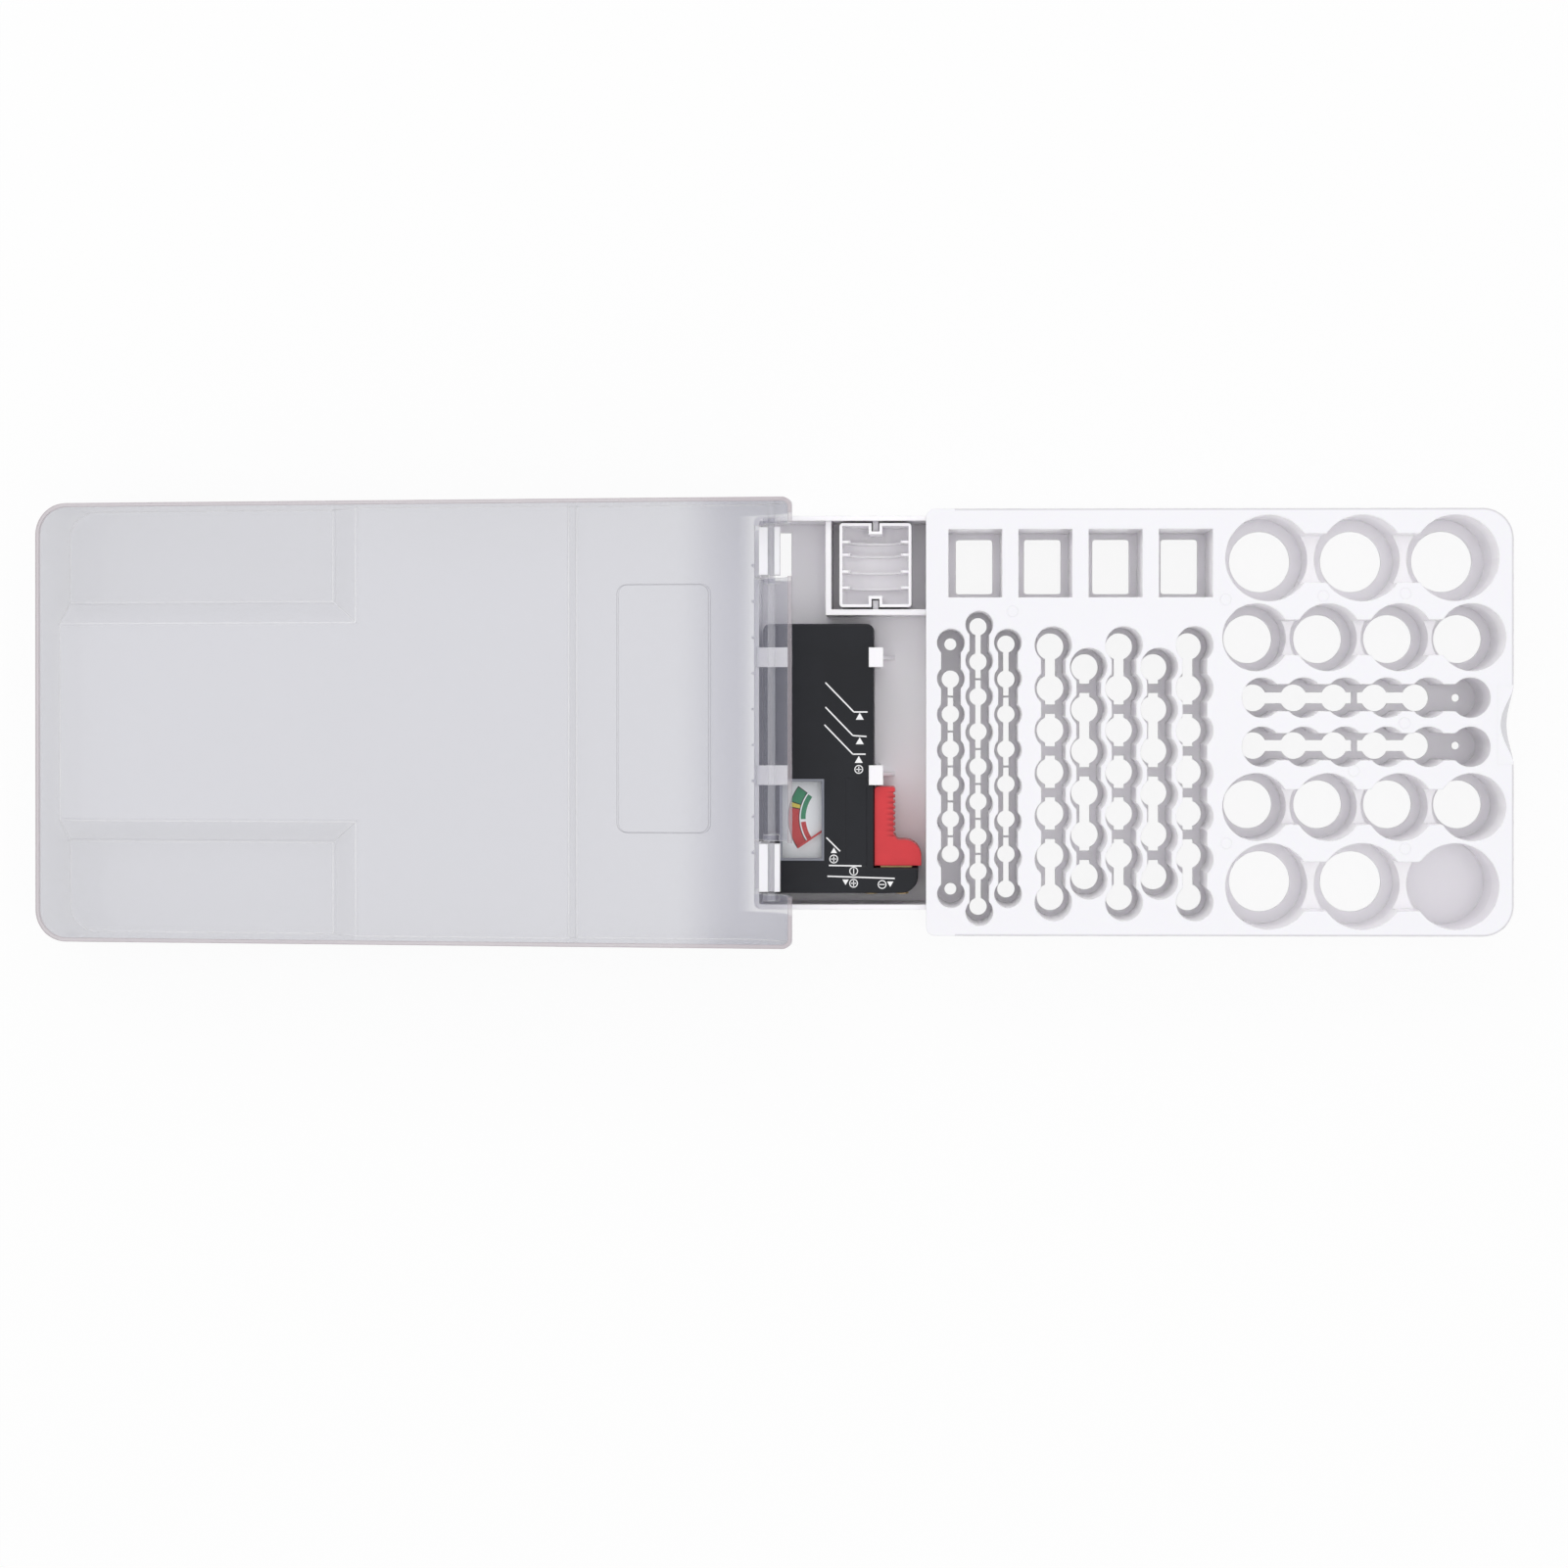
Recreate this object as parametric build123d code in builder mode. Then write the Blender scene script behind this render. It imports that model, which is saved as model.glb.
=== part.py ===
from build123d import *
from math import asin, atan2, cos, degrees, hypot, sin, tan
import os

# Battery storage case: a moulded tray of cell wells, a clear hinged cover,
# a lift-out caddy for button cells and a clipped-in battery tester.
# Millimetres. X = 0 is the hinge axis, with the wells towards +X.
# Y = 0 is the deck's centreline, and Z = 0 is the table.

# ---- deck and its skirt ----
deck_left = 62.4
deck_length = 239.0
deck_width = 174.4
deck_top = 34.5
deck_skin = 1.8
skirt_wall = 1.8
far_corner = 12.5
near_corner = 3.6
well_floor = 1.5
well_wall = 1.3

# ---- finger scoop in the deck's far edge ----
scoop_width = 30.0
scoop_depth = 5.4
scoop_height = 14.0
scoop_wall = 1.6
scoop_middle = -1.0

# ---- cell wells ----
aaa_bore, aaa_neck, aaa_pitch, aaa_hole, aaa_slot = 11.3, 8.0, 14.67, 7.3, 2.3
aaa_bar, aaa_end_hole, aaa_middle = 0.8, 5.0, -18.8
aaa_columns = [72.6, 84.2, 95.9]
aaa_counts = [8, 9, 8]
aaa_barred = [[1, 2, 3, 4, 5], [1, 3, 4, 5, 6], [1, 3, 5]]
aa_bore, aa_neck, aa_pitch, aa_hole, aa_slot, aa_bar = 15.2, 10.0, 17.5, 11.2, 4.2, 3.9
aa_first, aa_column_pitch, aa_middle = 114.4, 14.4, -21.0
aa_counts = [7, 6, 7, 6, 7]
aa_barred = [[1, 2, 3, 4], [0, 2, 4], [1, 2, 3, 4], [0, 2, 4], [1, 2, 3, 4]]
row_bore, row_neck, row_pitch = 16.4, 11.0, 16.9
row_first, row_count, row_side = 199.4, 6, 10.0
row_slot, row_bar, row_end_hole = 4.6, 2.4, 3.3
row_barred = [2]
c_bore, c_neck, c_hole, c_pitch, c_first, c_count, c_side = 27.6, 14.4, 20.1, 29.2, 197.0, 4, 34.6
d_bore, d_neck, d_hole, d_pitch, d_first, d_count, d_side = 35.2, 20.0, 25.3, 38.0, 202.0, 3, 66.9
channel_floor = 20.0
nine_x, nine_y, nine_first, nine_pitch, nine_count, nine_middle = 21.9, 27.8, 82.55, 28.6, 4, 64.9
nine_ledge_x, nine_ledge_y, nine_corner = 3.3, 2.5, 1.2

# ---- tester bay beside the hinge ----
bay_left = -8.3
bay_back, bay_front = 84.8, -77.0
bay_wall = 2.0
bay_top = 27.0
bay_floor = 2.0
bay_corner = 3.0
rib_pitch, rib_count, rib_size, rib_middle = 14.8, 9, 1.0, 5.4

# ---- hinge ----
hinge_z = 48.0
rod_diameter = 3.0
running_gap = 0.05
seat_gap = 0.02
knuckle_length = 19.4
knuckle_back_inset, knuckle_front_inset = 20.8, 31.4
knuckle_left, knuckle_right = 4.9, 3.5
knuckle_top, knuckle_bottom = 2.2, 3.6
snap_slot = 2.6
post_wall = 3.0
knuckle_gap = 1.1
post_clearance = 0.4
core_hole_left, core_hole_x, core_hole_y = -1.7, 7.6, 20.1

# ---- cover, measured closed ----
cover_wall = 1.6
cover_half_width = 90.0
cover_far = 303.6
cover_rim = 31.5
cover_hinge_end = 10.8
cover_end_radius = 26.0
step_x, step_run = 83.0, 2.4
middle_top = 54.0
pocket_top = 64.9
pocket_foot_x, pocket_head_x = 174.0, 187.0
pocket_foot_y, pocket_head_y = 40.5, 49.5
cover_far_corner, cover_near_corner = 13.0, 4.0
cover_edge_round = 2.4
notch_reach = 8.0
lug_radius, lug_thickness = 3.4, 2.6
rod_back_gap = 0.3
label_length, label_width, label_depth, label_corner = 38.3, 101.8, 0.4, 4.0
label_x, label_y = 45.8, 5.6

# ---- button-cell caddy and the pocket that it sits in ----
caddy_x, caddy_y, caddy_height = 29.6, 34.6, 23.5
caddy_centre_x, caddy_gap = 41.6, 0.8
caddy_wall, caddy_corner = 1.2, 1.4
caddy_divider, caddy_drop, caddy_tab = 1.0, 1.0, 3.2
caddy_dividers = [9.6, 4.3, -2.6, -9.2]
key_width, key_reach, key_gap, key_height = 2.4, 3.0, 0.4, 21.0
housing_left, housing_front, housing_wall, housing_top = 23.4, 46.5, 2.4, 24.5

# ---- battery tester ----
tester_left, tester_right = -4.7, 40.9
tester_front, tester_back = -70.4, 40.5
tester_height, tester_wall, tester_corner, tester_edge = 24.0, 1.8, 3.0, 0.8
tester_split = 12.0
foot_reach, foot_width, foot_corner = 18.2, 10.5, 7.0
slot_bottom, slot_height, slot_back = 10.0, 4.4, 8.0
boss_diameter, boss_inset = 5.6, 4.1
screw_diameter, screw_head, screw_head_height, screw_length = 2.4, 4.4, 1.6, 15.0
screw_end_room = 1.0
pillar_height, pillar_radius, pillar_inset = 3.0, 2.0, 3.0

# ---- tester slider ----
slider_neck, slider_back, slider_foot = 8.4, -26.7, 19.2
slider_foot_width, slider_corner, slider_inner_round = 10.6, 7.0, 2.0
slider_bottom, slider_height, slider_gap, slider_end_round = 5.0, 17.0, 0.3, 1.2
ridge_count, ridge_pitch, ridge_radius = 8, 2.3, 0.8
tongue_length, tongue_head, tongue_lip = 22.0, 1.6, 1.0
contact_thickness, contact_length, contact_height, contact_inset = 0.5, 13.0, 12.0, 2.4

# ---- tester meter ----
window_x, window_y, window_centre_x, window_centre_y = 17.8, 33.1, 11.3, -40.2
lens_margin, lens_thickness = 1.2, 1.2
pivot_x, pivot_y = 26.6, -40.2
needle_length, needle_tail, needle_angle = 20.8, 4.0, 214.0
needle_thickness, needle_width, hub_diameter = 0.6, 0.8, 3.0
staff_diameter = 1.2
coil_width, coil_height, coil_bar, coil_depth = 11.4, 10.0, 1.0, 1.6
core_diameter, core_height, core_arm = 7.6, 6.0, 1.6
ring_outer, ring_inner, ring_height, ring_stand = 19.4, 13.6, 7.0, 2.4
ring_foot, ring_foot_inset = 5.0, 0.2
frame_x, frame_y, frame_plate, frame_pillar = 22.0, 26.0, 1.4, 2.6
bridge_height, bridge_width, bridge_thickness = 14.6, 4.0, 1.0
dial_x, dial_y, dial_thickness, dial_hole = 28.0, 36.0, 0.6, 5.0
nine_pin_pitch, nine_pin_diameter, nine_pin_stand, nine_pin_x = 12.7, 5.6, 0.8, 46.0
board_x, board_y, board_thickness, board_middle_y = 32.0, 34.0, 1.6, 12.0
resistor_diameter, resistor_length, resistor_pitch, resistor_count = 3.4, 14.0, 8.0, 3

# ---- clips that hold the tester down ----
clip_middles = [26.7, -21.8]
clip_width, clip_nose, clip_wall, clip_gap = 8.1, 1.5, 2.2, 0.3
clip_left_reach, clip_right_reach, clip_head = 10.2, 2.0, 5.9
clip_rib_reach, clip_rib_height, clip_rib_wall = 7.4, 16.0, 1.6

os.makedirs("parts", exist_ok=True)

# ---- places worked out from the sizes ----
deck_right = deck_left + deck_length
deck_middle = deck_left + deck_length / 2
rod_radius = rod_diameter / 2
knuckle_middles = [cover_half_width - knuckle_back_inset, knuckle_front_inset - cover_half_width]
tester_bottom = bay_floor
tester_top = tester_bottom + tester_height
inner_floor = tester_bottom + tester_wall
inner_roof = tester_top - tester_wall
foot_back = tester_front + foot_width
housing_back = bay_back - bay_wall
caddy_middle_y = (housing_front + housing_back) / 2

# The open cover rests on its far top edge, so the lean past flat follows from
# where that rounded edge meets the table.
rest_x = cover_far - cover_edge_round
rest_z = pocket_top - hinge_z - cover_edge_round
lean = asin((hinge_z - cover_edge_round) / hypot(rest_x, rest_z)) - atan2(rest_z, rest_x)
open_angle = 180 + degrees(lean)
cover_along = (-cos(lean), 0, -sin(lean))
cover_up = (sin(lean), 0, -cos(lean))
hinge_end_height = cover_rim - hinge_z
end_centre_x = cover_end_radius - cover_hinge_end
hinge_section_top = cover_rim + cover_end_radius
print(f"cover opens {open_angle:.3f} degrees")


def across(y):
    """Sketch plane at Y = y with X and Z in the sketch, extruding towards -Y."""
    return Plane.XZ.offset(-y)


def cover_across(y):
    """The same on the open cover: x from the hinge to its far end, y its closed height."""
    return Plane(origin=(0, y, hinge_z), x_dir=cover_along, z_dir=(0, -1, 0))


def cover_level(z):
    """Plane parallel to the open cover's rim, at the closed height z above the table."""
    height = z - hinge_z
    origin = (height * cover_up[0], 0, hinge_z + height * cover_up[2])
    return Plane(origin=origin, x_dir=cover_along, z_dir=cover_up)


def run_of(count, pitch, middle):
    """Centres along a run of wells, from its back end to its front end."""
    return [middle + (count - 1) * pitch / 2 - i * pitch for i in range(count)]


def joined(places, width, skip=()):
    """Rectangles of the given width that join each place to the next, but for the skipped ones."""
    for i, ((x0, y0), (x1, y1)) in enumerate(zip(places, places[1:])):
        if i in skip:
            continue
        size = (width, abs(y1 - y0)) if x0 == x1 else (abs(x1 - x0), width)
        with Locations(((x0 + x1) / 2, (y0 + y1) / 2)):
            Rectangle(*size)


def well_run(places, bore, neck, spread=0.0):
    """Round wells in a run, joined by necks, each wall moved out by the spread."""
    with Locations(*places):
        Circle(bore / 2 + spread)
    joined(places, neck + 2 * spread)


def at_corner(x, y):
    """Picks the vertex that stands at (x, y) in plan."""
    return lambda v: abs(v.X - x) < 0.01 and abs(v.Y - y) < 0.01


def box_between(low, high, mode=Mode.ADD):
    """A block given by its lowest and highest corners."""
    size = [b - a for a, b in zip(low, high)]
    with Locations(tuple((a + b) / 2 for a, b in zip(low, high))):
        Box(*size, mode=mode)


aaa_runs = [[(x, y) for y in run_of(n, aaa_pitch, aaa_middle)] for x, n in zip(aaa_columns, aaa_counts)]
aa_runs = [
    [(aa_first + i * aa_column_pitch, y) for y in run_of(n, aa_pitch, aa_middle)]
    for i, n in enumerate(aa_counts)
]
row_runs = [[(row_first + i * row_pitch, side) for i in range(row_count)] for side in (row_side, -row_side)]
c_runs = [[(c_first + i * c_pitch, side) for i in range(c_count)] for side in (c_side, -c_side)]
d_runs = [[(d_first + i * d_pitch, side) for i in range(d_count)] for side in (d_side, -d_side)]
nine_places = [(nine_first + i * nine_pitch, nine_middle) for i in range(nine_count)]
c_places = [place for run in c_runs for place in run]
d_places = [place for run in d_runs for place in run]
narrow_runs = [(run, aaa_bore, aaa_neck) for run in aaa_runs]
narrow_runs += [(run, aa_bore, aa_neck) for run in aa_runs]
narrow_runs += [(run, row_bore, row_neck) for run in row_runs]


def deck_outline(inset=0.0):
    """Plan of the deck: large corners at its far end, small ones beside the bay."""
    with Locations((deck_middle, 0)):
        Rectangle(deck_length - 2 * inset, deck_width - 2 * inset)
    fillet(vertices().group_by(Axis.X)[-1], far_corner - inset)
    fillet(vertices().group_by(Axis.X)[0], near_corner - inset)


def well_walls(spread=0.0):
    """Plan of every well, with its wall moved out by the spread."""
    for places, bore, neck in narrow_runs:
        well_run(places, bore, neck, spread)
    with Locations(*c_places):
        Circle(c_bore / 2 + spread)
    with Locations(*d_places):
        Circle(d_bore / 2 + spread)
    with Locations(*nine_places):
        Rectangle(nine_x + 2 * spread, nine_y + 2 * spread)


def channels(spread=0.0):
    """Plan of the shallow channels that join the C wells and the D wells."""
    for run in c_runs:
        joined(run, c_neck + 2 * spread)
    for run in d_runs:
        joined(run, d_neck + 2 * spread)


def barred_slots(places, slot, bar, barred):
    """Push-out slots under a run of wells, with a bar left between the barred pairs."""
    joined(places, slot)
    for i in barred:
        (x0, y0), (x1, y1) = places[i], places[i + 1]
        size = (slot + 1, bar) if x0 == x1 else (bar, slot + 1)
        with Locations(((x0 + x1) / 2, (y0 + y1) / 2)):
            Rectangle(*size, mode=Mode.SUBTRACT)


def push_out_holes():
    """Plan of the holes in the wells' floors, through which a cell is pushed up."""
    for run, barred in zip(aaa_runs, aaa_barred):
        ends = run is not aaa_runs[0]
        inner = run if ends else run[1:-1]
        barred_slots(inner, aaa_slot, aaa_bar, barred if ends else [i - 1 for i in barred])
        with Locations(*inner):
            Circle(aaa_hole / 2)
    with Locations(aaa_runs[0][0], aaa_runs[0][-1]):
        Circle(aaa_end_hole / 2)
    for run, barred in zip(aa_runs, aa_barred):
        barred_slots(run, aa_slot, aa_bar, barred)
        with Locations(*run):
            Circle(aa_hole / 2)
    for run in row_runs:
        barred_slots(run[:-1], row_slot, row_bar, row_barred)
        with Locations(*run[:-1]):
            Circle(aa_hole / 2)
        with Locations(run[-1]):
            Circle(row_end_hole / 2)
    with Locations(*c_places):
        Circle(c_hole / 2)
    with Locations(*d_places[:-1]):
        Circle(d_hole / 2)
    with Locations(*nine_places):
        RectangleRounded(nine_x - 2 * nine_ledge_x, nine_y - 2 * nine_ledge_y, nine_corner)


# ---- tray: one moulding, drawn as two solids that meet at the deck's left skirt ----
with BuildPart() as tester_bay:
    # floor and low walls
    bay_x, bay_y = deck_left - bay_left, bay_back - bay_front
    bay_middle_y = (bay_back + bay_front) / 2
    with BuildSketch():
        with Locations((bay_left + bay_x / 2, bay_middle_y)):
            Rectangle(bay_x, bay_y)
        fillet(vertices().group_by(Axis.X)[0], bay_corner)
    extrude(amount=bay_top)
    with BuildSketch(Plane.XY.offset(bay_floor)):
        inner_x = deck_left - bay_left - bay_wall
        with Locations((deck_left - inner_x / 2, bay_middle_y)):
            Rectangle(inner_x, bay_y - 2 * bay_wall)
        fillet(vertices().group_by(Axis.X)[0], bay_corner - bay_wall)
    extrude(amount=bay_top - bay_floor, mode=Mode.SUBTRACT)
    for y in run_of(rib_count, rib_pitch, rib_middle):
        half = rib_size / 2
        box_between((bay_left - rib_size, y - half, 0), (bay_left + half, y + half, bay_top))

    # knuckles: hooks, open at the top, on posts tied to the end wall
    for middle in knuckle_middles:
        with BuildSketch(across(middle + knuckle_length / 2)):
            with BuildLine():
                top, low = hinge_z + knuckle_top, hinge_z - knuckle_bottom
                post_right = post_wall - knuckle_left
                over_tester = tester_top + post_clearance
                beside_tester = tester_left - post_clearance
                Polyline(
                    (bay_left, bay_floor / 2),
                    (bay_left, bay_top),
                    (-knuckle_left, bay_top + post_wall),
                    (-knuckle_left, top),
                    (knuckle_right, top),
                    (knuckle_right, low),
                    (post_right, low),
                    (post_right, over_tester),
                    (beside_tester, over_tester),
                    (beside_tester, bay_floor / 2),
                    close=True,
                )
            make_face()
            fillet(vertices().filter_by(lambda v: v.Z > low - 0.1 and v.X > 0), rod_radius)
            with Locations((0, hinge_z)):
                Circle(rod_radius + running_gap, mode=Mode.SUBTRACT)
            with Locations((0, hinge_z + knuckle_top / 2)):
                Rectangle(snap_slot, knuckle_top, mode=Mode.SUBTRACT)
        extrude(amount=knuckle_length)
        box_between(
            (core_hole_left, middle - core_hole_y / 2, 0),
            (core_hole_left + core_hole_x, middle + core_hole_y / 2, bay_floor),
            mode=Mode.SUBTRACT,
        )

    # housing and keys of the button-cell caddy
    half_floor = bay_floor / 2
    box_between(
        (housing_left - housing_wall, housing_front - housing_wall, half_floor),
        (housing_left, bay_back - bay_wall / 2, housing_top),
    )
    box_between(
        (housing_left - housing_wall, housing_front - housing_wall, half_floor),
        (deck_left, housing_front, housing_top),
    )
    key_in = caddy_gap + key_reach
    back_key = (housing_back - key_in, bay_back - bay_wall / 2)
    front_key = (housing_front - housing_wall / 2, housing_front + key_in)
    for y0, y1 in (back_key, front_key):
        box_between(
            (caddy_centre_x - key_width / 2, y0, half_floor),
            (caddy_centre_x + key_width / 2, y1, key_height),
        )

    # clips over the tester's long edges: stiff ones at the left, sprung ones at the right
    for middle in clip_middles:
        front, back = middle - clip_width / 2, middle + clip_width / 2
        box_between(
            (bay_left + bay_wall / 2, front, tester_top),
            (tester_left + clip_left_reach, back, tester_top + clip_nose),
        )
        arm = tester_right + clip_gap
        box_between((arm, front, half_floor), (arm + clip_wall, back, tester_top + clip_nose))
        nose = tester_right - clip_right_reach
        box_between((nose, front, tester_top), (nose + clip_head, back, tester_top + clip_nose))
        with BuildSketch(across(middle + clip_rib_wall / 2)):
            with BuildLine():
                root = arm + clip_wall - half_floor
                Polyline(
                    (root, half_floor),
                    (root + clip_rib_reach, half_floor),
                    (root, bay_floor + clip_rib_height),
                    close=True,
                )
            make_face()
        extrude(amount=clip_rib_wall)

tester_bay.part.label = "tester_bay"
export_step(tester_bay.part, "parts/tester_bay.step")

with BuildPart() as tray:
    # skirt and deck skin
    with BuildSketch():
        deck_outline()
    extrude(amount=deck_top)
    with BuildSketch():
        deck_outline(skirt_wall)
    extrude(amount=deck_top - deck_skin, mode=Mode.SUBTRACT)

    # finger scoop: a sloped wall behind a cut in the far edge
    slope = atan2(scoop_depth, scoop_height)
    wall_x = scoop_wall / cos(slope)
    scoop_x = deck_right - scoop_depth
    scoop_foot = deck_top - scoop_height
    with BuildSketch(across(scoop_middle + scoop_width / 2 + scoop_wall)):
        with BuildLine():
            Polyline(
                (scoop_x - wall_x, deck_top),
                (deck_right, deck_top),
                (deck_right, scoop_foot - scoop_wall / sin(slope)),
                close=True,
            )
        make_face()
    extrude(amount=scoop_width + 2 * scoop_wall)
    with BuildSketch(across(scoop_middle + scoop_width / 2)):
        with BuildLine():
            Polyline((scoop_x, deck_top), (deck_right, deck_top), (deck_right, scoop_foot), close=True)
        make_face()
    extrude(amount=scoop_width, mode=Mode.SUBTRACT)

    # walls of the wells and of the shallow channels between the large wells
    with BuildSketch():
        well_walls(well_wall)
    extrude(amount=deck_top - deck_skin / 2)
    with BuildSketch(Plane.XY.offset(channel_floor - well_wall)):
        channels(well_wall)
    extrude(amount=deck_top - deck_skin / 2 - channel_floor + well_wall)
    with BuildSketch(Plane.XY.offset(well_floor)):
        well_walls()
    extrude(amount=deck_top - well_floor, mode=Mode.SUBTRACT)
    with BuildSketch(Plane.XY.offset(channel_floor)):
        channels()
    extrude(amount=deck_top - channel_floor, mode=Mode.SUBTRACT)
    with BuildSketch():
        push_out_holes()
    extrude(amount=well_floor, mode=Mode.SUBTRACT)

tray.part.label = "tray"
export_step(tray.part, "parts/tray.step")


# ---- cover ----
def cover_profile(inset=0.0):
    """Side view of the closed cover above its rim, each wall moved in by the inset."""
    radius = cover_end_radius - inset
    top = hinge_section_top - inset - hinge_z
    low = middle_top - inset - hinge_z
    foot = hinge_end_height - cover_wall
    slope = atan2(hinge_section_top - middle_top, step_run)
    shift = inset * tan(slope / 2)
    far = cover_far - inset
    with BuildLine() as outline:
        Line((inset - cover_hinge_end, foot), (inset - cover_hinge_end, hinge_end_height))
        CenterArc((end_centre_x, hinge_end_height), radius, 90, 90)
        Polyline(
            (end_centre_x, top),
            (step_x - shift, top),
            (step_x + step_run - shift, low),
            (far, low),
            (far, foot),
            (inset - cover_hinge_end, foot),
        )
    make_face(outline.edges())


def cover_block(inset=0.0):
    """The cover's filled form, each wall moved in by the inset."""
    with BuildSketch(cover_across(cover_half_width - inset)) as section:
        cover_profile(inset)
    extrude(section.sketch, amount=2 * (cover_half_width - inset))
    rise = pocket_top - middle_top
    along = inset * tan(atan2(rise, pocket_head_x - pocket_foot_x) / 2)
    over = inset * tan(atan2(rise, pocket_head_y - pocket_foot_y) / 2)
    far, side = cover_far - inset, cover_half_width - inset
    for sign in (1, -1):
        ends = []
        for z, x, y in (
            (middle_top, pocket_foot_x + along, pocket_foot_y + over),
            (pocket_top, pocket_head_x + along, pocket_head_y + over),
        ):
            with BuildSketch(cover_level(z - inset)) as plan:
                with Locations(((x + far) / 2, sign * (y + side) / 2)):
                    Rectangle(far - x, side - y)
            ends.append(plan.sketch)
        loft(ends, ruled=True)
    with BuildSketch(cover_level(cover_rim - inset)) as plan:
        with Locations(((cover_far - cover_hinge_end) / 2, 0)):
            Rectangle(cover_far + cover_hinge_end - 2 * inset, 2 * side)
        fillet(vertices().group_by(Axis.X)[-1], cover_far_corner - inset)
        fillet(vertices().group_by(Axis.X)[0], cover_near_corner - inset)
    extrude(plan.sketch, amount=pocket_top - cover_rim + inset, mode=Mode.INTERSECT)


def on_outer_top(point):
    """Whether a point of the open cover is on its outer outline and above its side walls."""
    away = point - Vector(0, 0, hinge_z)
    x, y, height = away.dot(Vector(*cover_along)), abs(point.Y), away.dot(Vector(*cover_up))
    past_x, past_y = x - cover_far + cover_far_corner, y - cover_half_width + cover_far_corner
    on_side = abs(past_x - cover_far_corner) < 0.02 or abs(past_y - cover_far_corner) < 0.02
    on_corner = min(past_x, past_y) > 0 and abs(hypot(past_x, past_y) - cover_far_corner) < 0.02
    return height > middle_top - hinge_z - 0.05 and (on_side or on_corner)


with BuildPart() as cover_room:
    cover_block(cover_wall)

with BuildPart() as cover:
    cover_block()
    add(cover_room.part, mode=Mode.SUBTRACT)
    # lugs that carry the hinge rod, either side of each notch
    for middle in knuckle_middles:
        reach = knuckle_length / 2 + knuckle_gap
        for y in (middle + reach + lug_thickness, middle - reach):
            with BuildSketch(cover_across(y)):
                Circle(lug_radius)
            extrude(amount=lug_thickness)
    # notches for the knuckles, open at the rim
    for middle in knuckle_middles:
        reach = knuckle_length / 2 + knuckle_gap
        with BuildSketch(cover_across(middle + reach)):
            left, right = -cover_hinge_end - cover_wall, notch_reach
            low, high = hinge_end_height - cover_wall, hinge_section_top - hinge_z + cover_wall
            with Locations(((left + right) / 2, (low + high) / 2)):
                Rectangle(right - left, high - low)
        extrude(amount=2 * reach, mode=Mode.SUBTRACT)
    # socket of the rod, and the shallow label panel
    with BuildSketch(cover_across(cover_half_width - cover_wall)):
        Circle(rod_radius + seat_gap)
    extrude(amount=2 * (cover_half_width - cover_wall), mode=Mode.SUBTRACT)
    with BuildSketch(cover_level(hinge_section_top - label_depth)):
        with Locations((label_x, label_y)):
            RectangleRounded(label_length, label_width, label_corner)
    extrude(amount=label_depth, mode=Mode.SUBTRACT)
    ridge = edges().filter_by(lambda e: all(on_outer_top(e.position_at(t)) for t in (0.02, 0.5, 0.98)))
    fillet(ridge, cover_edge_round)
cover.part.label = "cover"
export_step(cover.part, "parts/cover.step")

rod_back = cover_half_width - cover_wall - rod_back_gap
rod_front = min(knuckle_middles) - knuckle_length / 2 - knuckle_gap - lug_thickness
with BuildPart() as hinge_rod:
    with BuildSketch(across(rod_back)):
        with Locations((0, hinge_z)):
            Circle(rod_radius)
    extrude(amount=rod_back - rod_front)
hinge_rod.part.label = "hinge_rod"
export_step(hinge_rod.part, "parts/hinge_rod.step")


# ---- button-cell caddy ----
caddy_front = caddy_middle_y - caddy_y / 2
caddy_back = caddy_middle_y + caddy_y / 2
caddy_bottom, caddy_top = bay_floor, bay_floor + caddy_height
trough_radius = caddy_x / 2 - caddy_wall
trough_centre = caddy_bottom + caddy_wall + trough_radius
scoop_radius = trough_radius - caddy_tab


def trough(radius, top):
    """Section of a straight-sided trough with a round bottom, seen along the caddy."""
    with Locations((caddy_centre_x, trough_centre)):
        Circle(radius)
    with Locations((caddy_centre_x, (trough_centre + top) / 2)):
        Rectangle(2 * radius, top - trough_centre)


with BuildPart() as cell_caddy:
    with BuildSketch(Plane.XY.offset(caddy_bottom)):
        with Locations((caddy_centre_x, caddy_middle_y)):
            RectangleRounded(caddy_x, caddy_y, caddy_corner)
    extrude(amount=caddy_height)
    with BuildSketch(across(caddy_back - caddy_wall)):
        trough(trough_radius, caddy_top)
    extrude(amount=caddy_y - 2 * caddy_wall, mode=Mode.SUBTRACT)
    for place in caddy_dividers:
        with BuildSketch(across(caddy_middle_y + place + caddy_divider / 2)):
            trough(trough_radius, caddy_top - caddy_drop)
            trough(scoop_radius, caddy_top)
            with Locations((caddy_centre_x, caddy_top)):
                Rectangle(2 * scoop_radius, 2 * (caddy_top - trough_centre), mode=Mode.SUBTRACT)
            with Locations((caddy_centre_x, trough_centre)):
                Circle(scoop_radius, mode=Mode.SUBTRACT)
        extrude(amount=caddy_divider)
    notch = key_width + 2 * key_gap
    deep = key_reach + key_gap
    for low, high in (
        (caddy_front, caddy_front + deep + caddy_wall),
        (caddy_back - deep - caddy_wall, caddy_back),
    ):
        box_between(
            (caddy_centre_x - notch / 2 - caddy_wall, low, caddy_bottom),
            (caddy_centre_x + notch / 2 + caddy_wall, high, caddy_top),
        )
    for low, high in ((caddy_front, caddy_front + deep), (caddy_back - deep, caddy_back)):
        box_between(
            (caddy_centre_x - notch / 2, low, caddy_bottom),
            (caddy_centre_x + notch / 2, high, caddy_top),
            mode=Mode.SUBTRACT,
        )
cell_caddy.part.label = "cell_caddy"
export_step(cell_caddy.part, "parts/cell_caddy.step")


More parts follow.
